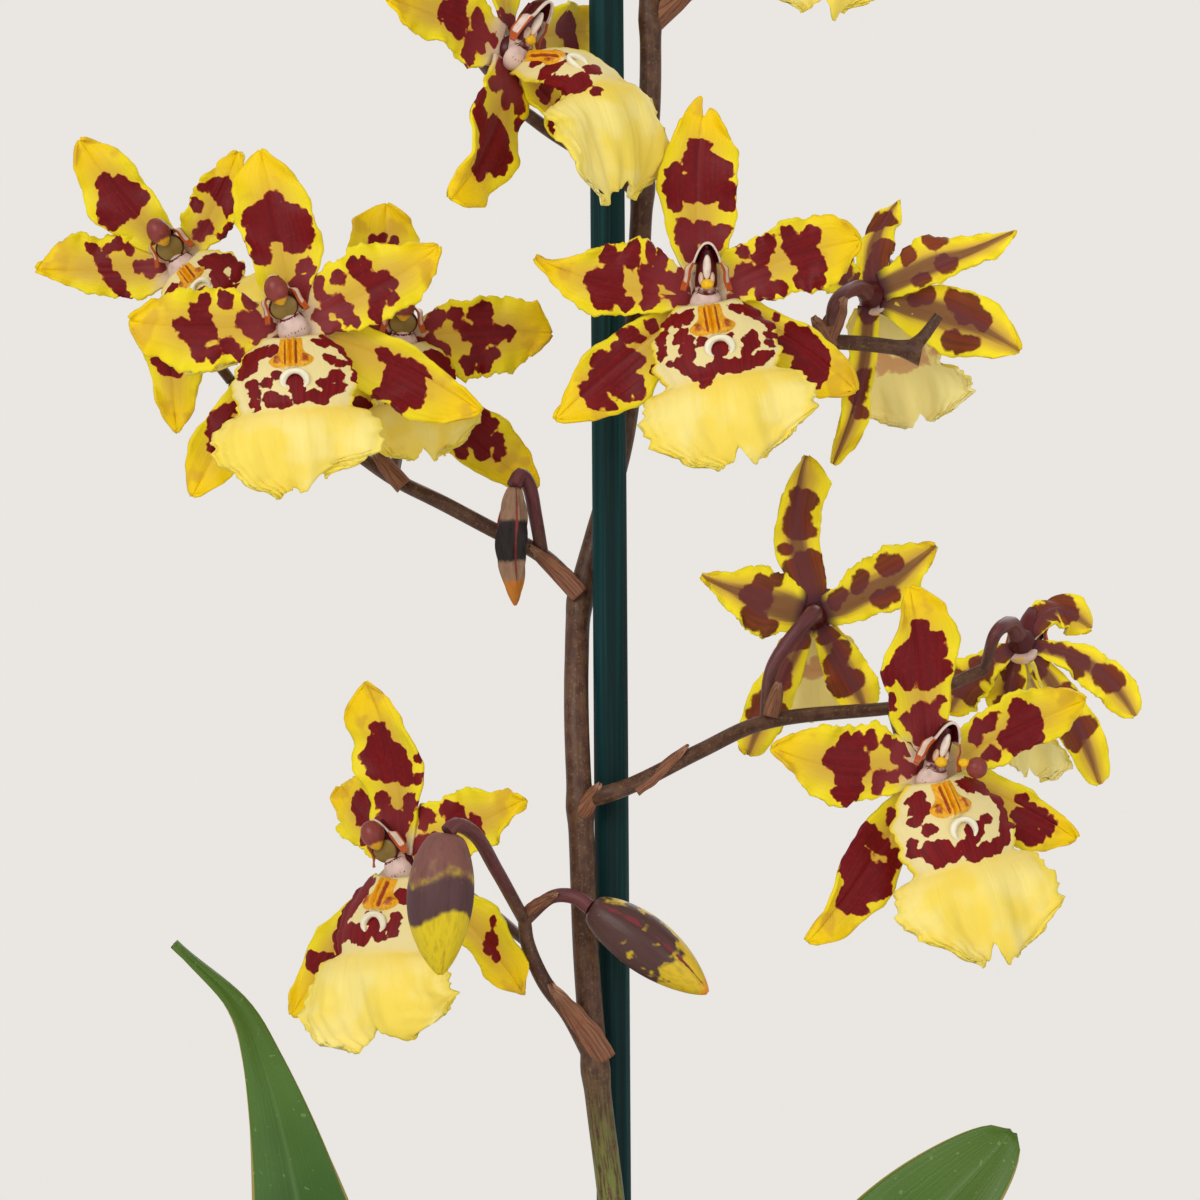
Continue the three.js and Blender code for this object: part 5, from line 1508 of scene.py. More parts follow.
        Tepal((27, 2, 1), 14.8, (0, -1, 1), edges=((3.1, 5.7, 5.4, 5.9, 5.1), (2.8, 8.2, 8.6, 7.3, 4.3)), marks=(
            (0.32, -0.56, 1.4), (0.33, -0.27, 0.9), (0.19, -0.62, 1.5), (0.14, -0.5, 1), (0.53, -0.62, 1.3),
            (0.46, -0.55, 1.4), (0.5, -0.2, 1.7), (0.39, 0.01, 1.5), (0.49, 0.15, 1.9), (0.6, 0.11, 1.8),
            (0.69, 0.07, 1.3), (0.46, 0.43, 1.5), (0.38, 0.69, 1.5), (0.51, 0.71, 1.9), (0.58, 0.55, 1.2),
            (0.04, 0.55, 1.6), (0.12, 0.35, 1.5), (0.2, 0.49, 1.4),
        )),
        Tepal((-8, -1, -19), 11, (0, 1, 0)),
        Tepal((24.5, 2, -27), 12.4, (-1.6, 1, -1.8),
            edges=((2.3, 3.3, 4.7, 6.3, 4), (2.3, 5.4, 5.7, 3.8, 2.8)), marks=(
            (0.52, -0.68, 1.4), (0.55, -0.21, 1.6), (0.58, -0.51, 1.8), (0.56, 0.26, 1.5), (0.61, -0.07, 2.1),
            (0.66, -0.44, 1.3), (0.58, 0.71, 1.2), (0.66, 0.24, 1.4), (0.73, -0.2, 1.1), (0.46, 0.86, 0.9),
        )),
    ), Lip((4.5, -6, -22), 0.72, arch=2.5), seed=5),
    Bloom("bloom_f", (46.3, 13, 487.4), 155, -8, blades(
        Tepal((4.8, 6, 17.5), 8.8, (-1.8, 0, 0.4), edges=((2.4, 3.1, 3.2, 2.4, 1.8), (2.8, 2.8, 3.4, 2.3, 1)), marks=(
            (0.44, -0.56, 1.5), (0.31, -0.62, 1.8), (0.21, -0.34, 1.6), (0.09, -0.09, 1.5), (0.77, -0.14, 1.1),
            (0.7, 0.44, 1.2), (0.66, 0.86, 0.8),
        )),
        Tepal((25.5, -4, 11.5), 9.4, (0, -1, -0.2), edges=((2.2, 2.4, 2.4, 2.4, 2.2), (3.8, 6, 5.8, 2.2, 1)), marks=(
            (0.26, 0.73, 1.2), (0.46, 0.81, 1.4), (0.5, 0.89, 1), (0.47, -0.01, 1.2), (0.51, -0.16, 0.8),
            (0.28, -0.31, 1.2), (0.31, -0.47, 0.6),
        )),
        Tepal((-13, 12, 8), 10, (0, 0, 0.6)),
        Tepal((26.5, -2, -10), 12, (0.5, 0, 1.4), edges=((3.4, 5.8, 6.9, 5.6, 3.4), (2.7, 3.6, 5.6, 5.1, 3.2)), marks=(
            (0.28, 0.54, 1.3), (0.23, 0.29, 1.1), (0.46, 0.59, 1.2), (0.51, 0.49, 1.6), (0.56, 0.59, 1.3),
            (0.62, 0.38, 1.2), (0.56, 0.24, 1.5), (0.69, 0.25, 1.2), (0.54, -0.57, 1.4), (0.63, -0.62, 1.2),
            (0.69, -0.52, 1),
        )),
        Tepal((-7.2, 4, -30.5), 7.4, (1.8, 0, 0), 25,
            edges=((2, 2.8, 2.8, 1.8, 1.2), (1.8, 1.6, 1.6, 2.8, 2.2)), marks=(
            (0.44, 0.11, 0.9), (0.5, 0.11, 0.9), (0.58, 0.05, 0.9), (0.66, 0.41, 0.8), (0.06, 0.11, 1.1),
        )),
    ), Lip((9.5, 12, -23), 0.76), seed=6),
    Bloom("bloom_g", (35.3, 10, 428.9), 176, -4, blades(
        Tepal((-1.2, 3, 29.3), 10, (-2.6, 0, 0), edges=((3.5, 3.9, 4, 4.4, 5.9), (1.6, 3.4, 3.9, 2.3, 1.3)), marks=(
            (0.71, -0.32, 1.8), (0.58, -0.1, 1.8), (0.51, 0.05, 1.4), (0.5, -0.39, 1.5), (0.39, 0.51, 0.6),
            (0.28, -0.41, 2.1), (0.18, -0.4, 2), (0.25, 0.39, 1.4), (0.08, -0.4, 1.6),
        )),
        Tepal((22, -2, 13), 11.4, (0.5, 0, -1.4), edges=((3.3, 3.4, 4.9, 4.1, 1.5), (2.8, 4.8, 6, 5.3, 3.2)), marks=(
            (0.61, 0.48, 1.6), (0.68, 0.38, 1.1), (0.39, 0.49, 1), (0.33, 0.4, 1), (0.18, 0.48, 1),
            (0.11, 0.3, 1), (0.44, -0.39, 1.3), (0.53, -0.44, 1),
        )),
        Tepal((-20.5, -1, 7.5), 11.8, (0, 0, -0.6), edges=((4.5, 5.7, 6.1, 3.8, 1.4), (3.9, 6, 5.3, 2.8, 1.1)), marks=(
            (0.34, -0.81, 1), (0.45, -0.36, 1.8), (0.52, -0.06, 1.5), (0.41, -0.06, 1.7), (0.47, 0.59, 1.4),
            (0.38, 0.56, 1.1), (0.27, 0.73, 0.9),
        )),
        Tepal((9.5, -1, -17.5), 10, (0.5, 0, 0)),
        Tepal((-12, 0, -25), 9, (-0.6, 0, 0)),
    ), Lip((1.5, 11, -19), 0.72), seed=7),
    Bloom("bloom_h", (54.7, -26, 401.8), 18, 0, blades(
        Tepal((-4, 2, 32.5), 15.4, (0.6, -1, 0), edges=((4.1, 6.9, 8, 4.8, 1.8), (3, 3.9, 5.4, 7.4, 5.8)), marks=(
            (0.76, 0.1, 1.5), (0.69, 0.06, 2.3), (0.63, -0.42, 2), (0.68, 0.41, 1.7), (0.61, 0.5, 1.5),
            (0.57, -0.2, 2.9), (0.54, -0.64, 1.9), (0.5, -0.89, 1.4), (0.52, 0.18, 3.2), (0.48, -0.39, 1.9),
            (0.51, 0.64, 1.7), (0.45, 0.04, 1.5), (0.34, -1, 1.1), (0.38, -0.99, 1), (0.34, 0.6, 0.8),
            (0.28, -0.21, 2), (0.25, -0.6, 1.3), (0.28, 0.25, 1.3), (0.21, -0.07, 2.6), (0.22, -0.41, 1.7),
            (0.21, 0.59, 1.2), (0.13, -0.12, 1.9),
        )),
        Tepal((-28.5, -7, 4.5), 14, (0, -1, -1.6),
            edges=((2.8, 4.3, 6.5, 5.5, 1.6), (5.6, 8.1, 7.5, 6.2, 4.1)), marks=(
            (0.53, 0.61, 1.7), (0.46, 0.59, 1.8), (0.36, 0.65, 1.6), (0.48, 0.35, 2.2), (0.59, 0.24, 1.9),
            (0.63, 0.11, 1.1), (0.51, 0.09, 2.4), (0.41, 0.12, 2), (0.48, -0.25, 2.3), (0.45, -0.55, 2),
            (0.53, -0.69, 1.2), (0.47, -0.78, 1.4), (0.23, 0.74, 1.2), (0.17, 0.69, 1.4), (0.09, 0.69, 1.3),
            (0.16, 0.4, 1.3), (0.26, -0.14, 1.5), (0.19, -0.14, 1.3), (0.28, -0.55, 1.3), (0.09, 0.11, 1.5),
            (0.04, -0.01, 1.1),
        )),
        Tepal((27.5, 9, 12.5), 13, (0, -1, 0.4), edges=((3.2, 5, 6.2, 5.6, 3.5), (3.1, 4, 3.9, 3.6, 3.5)), marks=(
            (0.58, -0.49, 2), (0.62, -0.2, 2.3), (0.65, 0.15, 1.5), (0.54, -0.02, 2.3), (0.45, 0.16, 1.8),
            (0.56, 0.54, 2.4), (0.62, 0.6, 1.5), (0.47, 0.56, 1.6), (0.31, -0.62, 1.5), (0.38, -0.54, 1.5),
            (0.28, -0.47, 1.5), (0.42, -0.66, 1.1), (0.33, 0.45, 1.2), (0.28, 0.49, 0.9),
        )),
        Tepal((-22, -3, -29.5), 12, (1.2, 1, 0), edges=((2.8, 4, 5.6, 5.6, 4.6), (3, 4.6, 5.6, 2.6, 1)), marks=(
            (0.4, 0.73, 1.9), (0.41, 0.36, 1.8), (0.41, 0.01, 1.5), (0.46, 0.81, 1.5), (0.51, 0.89, 1.6),
            (0.56, 0.83, 1.7), (0.53, 0.45, 2.3), (0.61, 0.43, 2.1), (0.56, -0.21, 2.2), (0.51, -0.49, 1.8),
            (0.42, -0.62, 1.6), (0.63, -0.4, 2.3), (0.7, -0.2, 2.1), (0.58, -0.62, 1.7), (0.75, -0.15, 1.4),
            (0.72, -0.61, 1.4), (0.26, 0.11, 1.8), (0.29, -0.4, 1.2), (0.24, 0.43, 1.1),
        )),
        Tepal((26, 9, -12), 13, (0, 1, 1.4), edges=((3.4, 3.6, 2.8, 2.6, 1.6), (3.4, 4.6, 6.2, 6.8, 5)), marks=(
            (0.58, -0.31, 1.2), (0.6, 0.25, 1.4), (0.66, 0.25, 1.9), (0.72, 0.1, 1.8), (0.81, 0.23, 1.4),
            (0.67, 0.61, 1.7), (0.74, 0.58, 1.7), (0.79, 0.5, 1.2),
        )),
    ), Lip(
        (11, -7, -33), 0.97, (-0.4, 0, 0.6), trim=(0.35, -0.1),
        marks=((0.08, 0.6, 1.5), (0.13, 0.56, 1.6), (0.18, 0.64, 1.1), (0.24, 0.48, 1.2), (0.28, 0.78, 0.9),
            (0.33, 0.8, 0.9), (0.34, 0.55, 1.6), (0.34, 0.38, 1.6), (0.39, 0.53, 1.7), (0.39, 0.3, 1.6),
            (0.37, -0.01, 1.6), (0.42, -0.1, 1.7), (0.41, -0.32, 1.6), (0.41, -0.57, 1.5), (0.38, -0.76, 1.3),
            (0.3, -0.22, 1.8), (0.34, -0.15, 1.3), (0.26, -0.5, 1.1), (0.07, -0.59, 1.6), (0.08, -0.84, 1.8),
            (0.12, -1, 2.2), (0.18, -1, 1.8), (0.24, -1, 1.7), (0.29, -0.94, 1.7), (0.34, -0.76, 1.1)),
    ), (0.2, 0, 1), 8, Cap.FALLEN),
    Bloom("bloom_i", (73.4, 11, 423.9), 158, -28, blades(
        Tepal((13, 8, 3), 9, (-1, 1, 4)),
        Tepal((20.5, 2, -13), 8.4, (1.7, 0, 2.5)),
        Tepal((-13, 4, -12.5), 10.6, (-1.4, 0, 1)),
        Tepal((14.5, 6, -25.5), 8.4, (1.4, 0, 0.6)),
        Tepal((-3, 5, -17), 9, (-0.6, 0, 0)),
    ), Lip((3, 20, -24.5), 0.6, (0, 1, 0), 2), seed=9),
    Bloom("bloom_j", (-39.6, -8, 384.7), -36, 4, blades(
        Tepal((-5.8, 2, 32.6), 13.8, (2, 0, 0), edges=((5.4, 6.1, 7.2, 7.6, 6.6), (2.5, 4.5, 6.4, 5, 2.2)), marks=(
            (0.74, -0.2, 1.3), (0.7, -0.01, 1.2), (0.66, -0.36, 1.9), (0.64, -0.02, 1.7), (0.6, -0.56, 2),
            (0.56, -0.19, 2.4), (0.58, 0.26, 1.8), (0.5, 0.33, 1.7), (0.51, -0.5, 1.7), (0.48, -0.2, 1.8),
            (0.44, 0.36, 1.6), (0.53, 0.88, 0.8), (0.42, 0.81, 1), (0.34, -0.54, 1.4), (0.3, -0.68, 1.1),
            (0.29, 0.62, 1.8), (0.22, -0.44, 2), (0.19, -0.02, 2), (0.23, 0.48, 1.4), (0.11, -0.3, 1.5),
            (0.07, -0.01, 1.1),
        )),
        Tepal((-11, 19, 13.5), 12, (-0.5, 0, 0)),
        Tepal((22.8, -11, 12), 12, (0.4, 0, 0.6), edges=((6, 7.4, 6.9, 4.6, 2.8), (3.6, 4.4, 4.8, 4.4, 1.6)), marks=(
            (0.24, -0.76, 1.4), (0.19, -0.61, 1), (0.38, -0.69, 1.4), (0.44, -0.49, 1.8), (0.39, -0.39, 1.4),
            (0.46, -0.26, 1.2), (0.56, -0.12, 1.1), (0.55, 0.12, 1.3), (0.56, 0.45, 0.8), (0.14, -0.16, 1.7),
            (0.07, -0.3, 1.4), (0.23, -0.14, 1.3), (0.08, 0.12, 1.4),
        )),
        Tepal((-19.5, 9, -27.5), 10, (-1, 1, 0), edges=((2.4, 3.4, 4.2, 4.4, 3.6), (2.4, 3.4, 4.6, 4.2, 2))),
        Tepal((22.5, -6, -22.5), 11.6, (1.2, 0, 0.4), edges=((3, 4.4, 6.4, 5.4, 3.6), (3, 3.8, 3, 3.6, 3)),
            marks=((0.62, -0.3, 1.5), (0.65, 0.03, 1.2), (0.71, -0.01, 0.9), (0.56, -0.72, 0.7))),
    ), Lip(
        (-2.6, -8, -31), 1.02, (-1.2, 0, 0), drop=2.6, drips=((0.8, 0.04), (0, -0.03), (-0.75, 0.04)),
        trim=(-0.5, -0.5),
        marks=((0.16, 0.91, 5.1), (0.11, 1, 2.3), (0.07, 1, 1.6), (0.19, 1, 1), (0.19, 0.61, 1.6),
            (0.24, 1, 0.9), (0.32, 0.98, 2.5), (0.39, 0.96, 2.9), (0.33, 0.68, 2.1), (0.32, 0.46, 1.7),
            (0.34, 0.25, 2.1), (0.37, 0.12, 1.6), (0.24, 0.03, 1.9), (0.31, -0.1, 1.6), (0.36, -0.22, 1.1),
            (0.11, -0.44, 1.5), (0.13, -0.54, 1.2), (0.29, -0.4, 1.2), (0.24, -0.41, 1), (0.34, -0.42, 0.9)),
    ), (-0.5, 0, 1), 10),
    Bloom("bloom_k", (33, -6, 566), 22, 4, blades(
        Tepal((0, 4, 33), 14, (1, -1, 0)),
        Tepal((-27, -8, 9), 13.4, (0, -1, 1)),
        Tepal((27, 12, 10), 13.4, (0, -1, 1)),
        Tepal((-21, -4, -24), 12.4, (0, 1, 0)),
        Tepal((23, 12, -21), 12.4, (0, 1, 0)),
    ), Lip((3, -9, -30), 0.94), seed=11),
    Bloom("bloom_l", (-33, 4, 592), -24, 6, blades(
        Tepal((-3, 4, 31), 13.4, (1, -1, 0)),
        Tepal((-26, 10, 6), 12.8, (0, -1, -1)),
        Tepal((24, -8, 11), 12.8, (0, -1, 0)),
        Tepal((-20, 8, -24), 12, (0, 1, 0)),
        Tepal((19, -6, -23), 12, (0, 1, 0)),
    ), Lip((-3, -8, -29), 0.9), seed=12),
)


# Spike, buds and leaves

STEM = (
    (12, -13, 88, 2.7), (10, -12, 150, 2.7), (6, -9.5, 230, 2.6), (2, -8, 290, 2.5), (-1.5, -7.4, 324, 2.4),
    (-4.2, -7, 346, 2.4), (-6, -5.8, 367, 2.35), (-6.9, -5, 389, 2.3), (-7.8, -3, 410, 2.25),
    (-7.8, 0.6, 421, 2.2), (-7.2, 5, 432, 2.2), (-4.4, 7, 443, 2.15), (-1.2, 7.4, 454, 2.1),
    (0.8, 7.2, 463, 2.1), (2.6, 6.6, 478, 2.05), (4, 5.6, 504, 2), (5.4, 4.8, 522, 2), (5.4, 4.4, 540, 1.9),
    (4.4, 4.2, 560, 1.7), (2.6, 4, 580, 1.5), (3.4, 3, 600, 1.3), (7, 1, 616, 1.1),
)

BRANCHES: tuple[tuple[tuple[Point, ...], tuple[float, ...]], ...] = (
    (((-4.6, -7, 350), (-9, -9, 358), (-13.5, -11, 364), (-16.5, -12, 371), (-17, -13, 375)),
        (1.9, 1.6, 1.4, 1.3, 1.2)),
    (((-7.2, -4, 396), (-2, -9, 397.5), (2.2, -8, 399), (14.4, -5, 405), (26, 0, 410), (49, 3, 412.5)),
        (1.7, 1.6, 1.5, 1.4, 1.4, 1.2)),
    (((49, 3, 412.5), (58, 4, 416), (66, 4.5, 419.5)), (1.2, 1.15, 1.1)),
    ((
        (-7.6, 4, 433.6), (-14, 3, 440), (-23.5, 2, 445), (-32, 3, 449.5), (-41, 8, 454), (-50, 14, 460),
        (-71, 15, 472),
    ), (1.7, 1.5, 1.4, 1.4, 1.3, 1.2, 1.1)),
    (((2.6, 6.6, 474), (14, 3, 477), (38, 1, 478.5), (50, 0, 477.4), (54.2, 0, 476.6)),
        (1.7, 1.5, 1.4, 1.4, 2.6)),
    (((52.6, 0, 477.4), (54.6, 0, 479.4), (57.4, -0.4, 483.2)), (1.5, 1.1, 0.9)),
    (((4.4, 5.8, 508), (-2, 9, 511), (-11.5, 4, 516), (-17.5, 0, 520)), (1.6, 1.4, 1.3, 1.2)),
    (((5.2, 4.6, 538), (11, 6, 541), (20, 7, 546), (27, 6, 552)), (1.5, 1.3, 1.2, 1.1)),
    (((3.6, 4.2, 566), (-4, 8, 570), (-14, 13, 577), (-22, 15, 584)), (1.4, 1.2, 1.1, 1)),
)

STALKS: dict[str, tuple[Point, ...]] = {
    "bloom_a": ((-17.5, 0, 520), (-21, -4, 524)),
    "bloom_b": ((14, 3, 477), (15, -4, 483)),
    "bloom_c": ((-50, 14, 460), (-56, 10, 467), (-58.5, -3, 476.5)),
    "bloom_d": ((-71, 15, 472), (-78, 18, 482)),
    "bloom_e": ((-41, 8, 454), (-40, 20, 466)),
    "bloom_f": ((38, 1, 478.5), (38.5, -2, 485)),
    "bloom_g": ((26, 0, 410), (27.5, 0, 420)),
    "bloom_h": ((49, 3, 412.5), (51, -8, 405)),
    "bloom_i": ((66, 4.5, 419.5), (67.5, -2, 426)),
    "bloom_j": ((-16.5, -12, 371), (-22, -4, 375), (-31, 2, 381)),
    "bloom_k": ((27, 6, 552), (30, 9, 560)),
    "bloom_l": ((-22, 15, 584), (-28, 16, 590)),
}


@dataclass(frozen=True)
class Bract:
    """A dry sheath at a fork of the spike."""

    base: Point
    tip: Point
    facing: Point
    width: float


BRACTS = (
    Bract((-3.4, -9.4, 349.4), (-12.6, -12.8, 364), (-0.4, -1, -0.5), 6.4),
    Bract((-8, -6.6, 393), (-3.4, -9.8, 399.4), (0, -1, 0.4), 4),
    Bract((2.4, -9, 398.4), (12.4, -7, 406.2), (-0.2, -1, 0.9), 3.2),
    Bract((38, -0.6, 477.2), (34.6, -2.6, 483), (-0.2, -1, -0.3), 3.4),
    Bract((27, -2, 411), (28.6, -3, 417.4), (0, -1, 0.2), 3.4),
    Bract((-16.4, -14.4, 376), (-11, -17.4, 380.4), (0, -1, -0.8), 3.0),
    Bract((-7.8, 1.4, 432.4), (-16.6, 1.2, 442), (-0.3, -1, -0.7), 5),
    Bract((-39, 4.6, 452.8), (-45, 6.6, 459.6), (0, -1, 0.3), 4),
    Bract((4.2, 4, 504.6), (-5, 5.4, 515.4), (0, -1, -0.4), 5),
    Bract((5.6, 2.9, 535.6), (14.5, 4.6, 544), (0.2, -1, -0.3), 6),
    Bract((36.5, -0.6, 477.6), (40.5, -3, 486.5), (0.2, -1, 0.3), 5),
    Bract((4.2, 2.9, 563), (-4.4, 5.4, 573), (-0.2, -1, -0.3), 5),
)


class BudKind(Enum):
    """How a bud is coloured."""

    NEAR = "near"
    LOW = "low"
    DRIED = "dried"
    TOP = "top"


@dataclass(frozen=True)
class Bud:
    """A closed bud on its own stalk."""

    name: str
    kind: BudKind
    stalk: tuple[Point, ...]
    path: tuple[Point, ...]
    radius: float


BUDS = (
    Bud("bud_near", BudKind.NEAR,
        ((-17, -13, 375), (-21.8, -24, 384.6), (-25.6, -33, 391.4), (-28.8, -37.6, 393)),
        ((-30, -38.4, 391.6), (-30.8, -38.6, 385.6), (-31.4, -39, 377.6), (-31.2, -39.5, 367.2)), 7.6),
    Bud("bud_low", BudKind.LOW, ((-17, -13, 375), (-12, -15, 379.4), (-8, -16.4, 379.4)),
        ((-5.2, -17, 377.6), (0.4, -17.5, 374), (7, -18, 369.2), (15.4, -19, 362.6)), 6.6),
    Bud("bud_dried", BudKind.DRIED,
        ((-14, 3, 440), (-15.2, 0, 447), (-16.4, -2.6, 452.6), (-17.8, -4.2, 454.4)),
        ((-19, -5.4, 452.2), (-19.3, -5, 446), (-19.4, -5, 440), (-18.8, -5.4, 431)), 3.4),
    Bud("bud_top_1", BudKind.TOP, ((7, 1, 615), (9.5, 0, 618.5)),
        ((10.2, -0.4, 619.4), (14, -2, 621), (18, -3, 621), (23, -4, 618)), 4.4),
    Bud("bud_top_2", BudKind.TOP, ((4.6, 2.2, 606), (1.6, -1, 609), (-1, -3, 612.6)),
        ((-1.6, -3.6, 613.4), (-4, -5, 617), (-6, -6, 621), (-8, -7, 626)), 3.3),
    Bud("bud_top_3", BudKind.TOP, ((3, 3.4, 596), (9, 0, 597), (15, -3, 599)),
        ((15.8, -3.4, 599.3), (20, -5.5, 600.4), (25, -7.5, 600), (31, -9.5, 596.5)), 4.9),
)


@dataclass(frozen=True)
class Leaf:
    """A strap leaf along a curve."""

    name: str
    path: tuple[Point, ...]
    width: float
    taper: float
    facing: Point

    def shape(self, u: Array, v: Array) -> Array:
        """Surface of the leaf: folded at the foot, creased along the middle, waved at the edges."""
        place, along, _ = Curve(self.path).at(v)
        out = square_to(np.broadcast_to(unit(np.array(self.facing, float)), along.shape), along)
        across = np.cross(along, out)
        broad = ramp(v, -0.05, 0.5)
        point = np.maximum(1 - v**3.1, 0) ** self.taper
        half = self.width / 2 * (0.3 + 0.7 * broad) * point + 0.6
        fold = 0.9 * (1 - v) ** 2 + 0.22
        crease = np.sqrt(u * u + 0.0016) - 0.04
        wave = 0.7 * u * u * np.sin(9 * v + 2 * u) + 0.16 * np.abs(u) ** 3 * np.sin(47 * v + 3 * u)
        return place + across * (u * half)[:, None] + out * (fold * half * crease + wave)[:, None]


LEAVES = (
    Leaf("leaf_left_tall",
        ((-38, 14, 152), (-46, 6, 240), (-58, 0, 323), (-64.4, -1, 349), (-68.6, -1, 358.5), (-80, -4, 370.3)),
        43, 1.75, (0.2, -1, 0.2)),
    Leaf("leaf_left_rear", ((-24.5, 20, 154.6), (-37, 36, 235), (-56, 58, 284), (-90, 84, 290)), 33, 0.6,
        (0.3, -0.8, 0.6)),
    Leaf("leaf_centre_left", ((-5.5, 27, 160.6), (-1, 48, 240), (8, 74, 288), (30, 106, 294)), 34, 0.6,
        (0, -1, 0.5)),
    Leaf("leaf_centre_right", ((6, 17.5, 160.6), (22, 30, 226), (46, 48, 270), (88, 74, 276)), 33, 0.6,
        (-0.4, -0.7, 0.7)),
    Leaf("leaf_right_tall", ((26, 15, 156.6), (28, 3, 240), (44, -2, 305), (70, -8, 337)), 36, 0.5,
        (-0.3, -1, 0.35)),
    Leaf("leaf_right_rear", ((35.5, 16, 156.6), (64, 8, 214), (92, 2, 250), (136, -10, 246)), 32, 0.6,
        (-0.5, -0.5, 0.8)),
    Leaf("leaf_left_low", ((-56, 16, 112), (-70, 10, 176), (-94, 0, 222), (-138, -18, 232)), 31, 0.6,
        (0.6, -0.5, 0.7)),
    Leaf("leaf_right_low", ((54, 18, 112), (64, 30, 160), (84, 48, 196), (124, 72, 196)), 28, 0.6,
        (-0.5, -0.4, 0.8)),
)


@dataclass
class Spike:
    """The flower spike: stem, side branches, stalks and dry bracts."""

    swelling: float = 0.14
    joint_heights: tuple[float, ...] = (180.0, 262.0, 348.0, 395.0, 432.0, 474.0, 506.0, 537.0, 564.0)

    def build(self) -> None:
        """Makes the living parts and the bracts."""
        form = Form("spike_stem")
        stem = Curve(tuple(p[:3] for p in STEM))
        heights = np.array(self.joint_heights)

        def knuckle(angle: Array, v: Array) -> Array:
            """Swellings at the forks."""
            z = stem.at(v)[0][:, 2]
            near = bell(z[:, None] - heights[None, :], 2.4).max(axis=1)
            return 1 + self.swelling * near

        form.tube(stem, [p[3] for p in STEM], 360, 24, knuckle)
        for path, radii in BRANCHES:
            curve = Curve(path)
            form.tube(curve, radii, max(20, int(curve.length() / 1.2)), 18)
        young = lambda angle, v: rows(ramp(v, 0.0, 0.5))
        for bloom in BLOOMS:
            path = (*STALKS[bloom.name], *bloom.stalk_end())
            radii = [0.95 + 0.75 * k / (len(path) - 1) for k in range(len(path))]
            form.tube(Curve(path), radii, 32, 16, self._ribbed, young)
        for bud in BUDS:
            head = unit(np.array(bud.path[1], float) - np.array(bud.path[0], float))
            path = (*bud.stalk, tuple(np.array(bud.path[0]) - 0.2 * head))
            radii = [1.15 + 0.35 * k / len(path) for k in range(len(path))]
            form.tube(Curve(path), radii, 30, 16, self._ribbed, young)
        form.settle([StemFinish().material()], ["flower_spike"])
        self._bracts()

    @staticmethod
    def _ribbed(angle: Array, v: Array) -> Array:
        """Six faint ribs on a flower stalk."""
        return 1 + 0.04 * np.cos(6 * angle)

    @staticmethod
    def _bracts() -> None:
        """Papery sheaths that hug the forks, torn at their tips."""
        form = Form("spike_bracts")
        for k, bract in enumerate(BRACTS):
            base, tip = np.array(bract.base, float), np.array(bract.tip, float)
            spine = Spine(base, tip, np.zeros(3), unit(np.array(bract.facing, float)))

            def shape(u: Array, v: Array, spine: Spine = spine, bract: Bract = bract, k: int = k) -> Array:
                """Places on the curled sheath."""
                torn = v * (1 - 0.1 * np.abs(np.sin(7 * u + k)) * ramp(v, 0.6, 1.0))
                point, across, out = spine.at(torn)
                half = 0.64 * bract.width * np.maximum(1 - v, 0) ** 0.7 * (1 + 0.05 * np.sin(23 * v + k)) + 0.3
                half *= 0.72 + 0.28 * ramp(v, 0.0, 0.3)
                curl = 0.38 * bract.width * (1 - 0.1 * v)
                turn = u * half / curl
                lift = curl * (np.cos(turn) - 1) + 0.12 * np.sin(6 * u + 9 * v + k) * v + 0.05 * np.cos(20 * u)
                return point + across * (curl * np.sin(turn))[:, None] + out * lift[:, None]

            form.sheet(shape, bare, *BRACT_GRID)
        skin = PaperFinish().material()
        form.settle([skin, skin], wall=BRACT_WALL)


@dataclass
class BudModel:
    """Builds one bud, three sepals closed over each other."""

    bud: Bud
    finishes: dict[BudKind, Material]

    def build(self) -> None:
        """Makes the bud as one closed body."""
        form = Form(f"{self.bud.name}_sepals")
        form.tube(Curve(self.bud.path), [self.bud.radius] * 4, 56, 40, self._seams, self._patches)
        form.settle([self.finishes[self.bud.kind]], [self.bud.name])

    def _seams(self, angle: Array, v: Array) -> Array:
        """Three seams where the sepals meet, rounded ends, and wrinkles on the dried one."""
        seam = 1 - 0.07 * bell(np.sin(1.5 * angle), 0.16) * ramp(v, 0.02, 0.2)
        if self.bud.kind is BudKind.DRIED:
            seam = seam * (1 + 0.12 * np.sin(5 * angle + 9 * v) + 0.06 * np.sin(11 * angle - 14 * v))
        body = np.clip(v, 0, 1) ** 0.62 * np.clip(1.004 - v, 0, 1) ** 0.8 / 0.523
        return seam * (body + 0.2 * (1 - v) ** 8 + 0.04)

    def _patches(self, angle: Array, v: Array) -> Array:
        """Where the three overlaid colours lie."""
        seam = bell(np.sin(1.5 * angle), 0.2)
        if self.bud.kind is BudKind.NEAR:
            low = v + 0.06 * np.cos(2 * angle + 0.6)
            dark = ramp(low, 0.24, 0.4) * ramp(low, 0.66, 0.56)
            return rows(0.9 * dark, 0.5 * seam * ramp(v, 0.5, 0.9), 0.8 * ramp(low, 0.5, 0.2))
        if self.bud.kind is BudKind.DRIED:
            return rows(0.9 * ramp(v, 0.2, 0.34) * ramp(v, 0.72, 0.56), 0.8 * seam, 0.8 * ramp(v, 0.7, 0.85))
        stripe = bell(np.sin(0.5 * (angle + 1.2)), 0.2) + ramp(np.sin(angle - 1.9), 0.45, 0.8)
        return rows(0.8 * ramp(v, 0.92, 0.5) * (1 - 0.85 * stripe), 0.62 * seam, 0.7 * ramp(v, 0.86, 0.98))


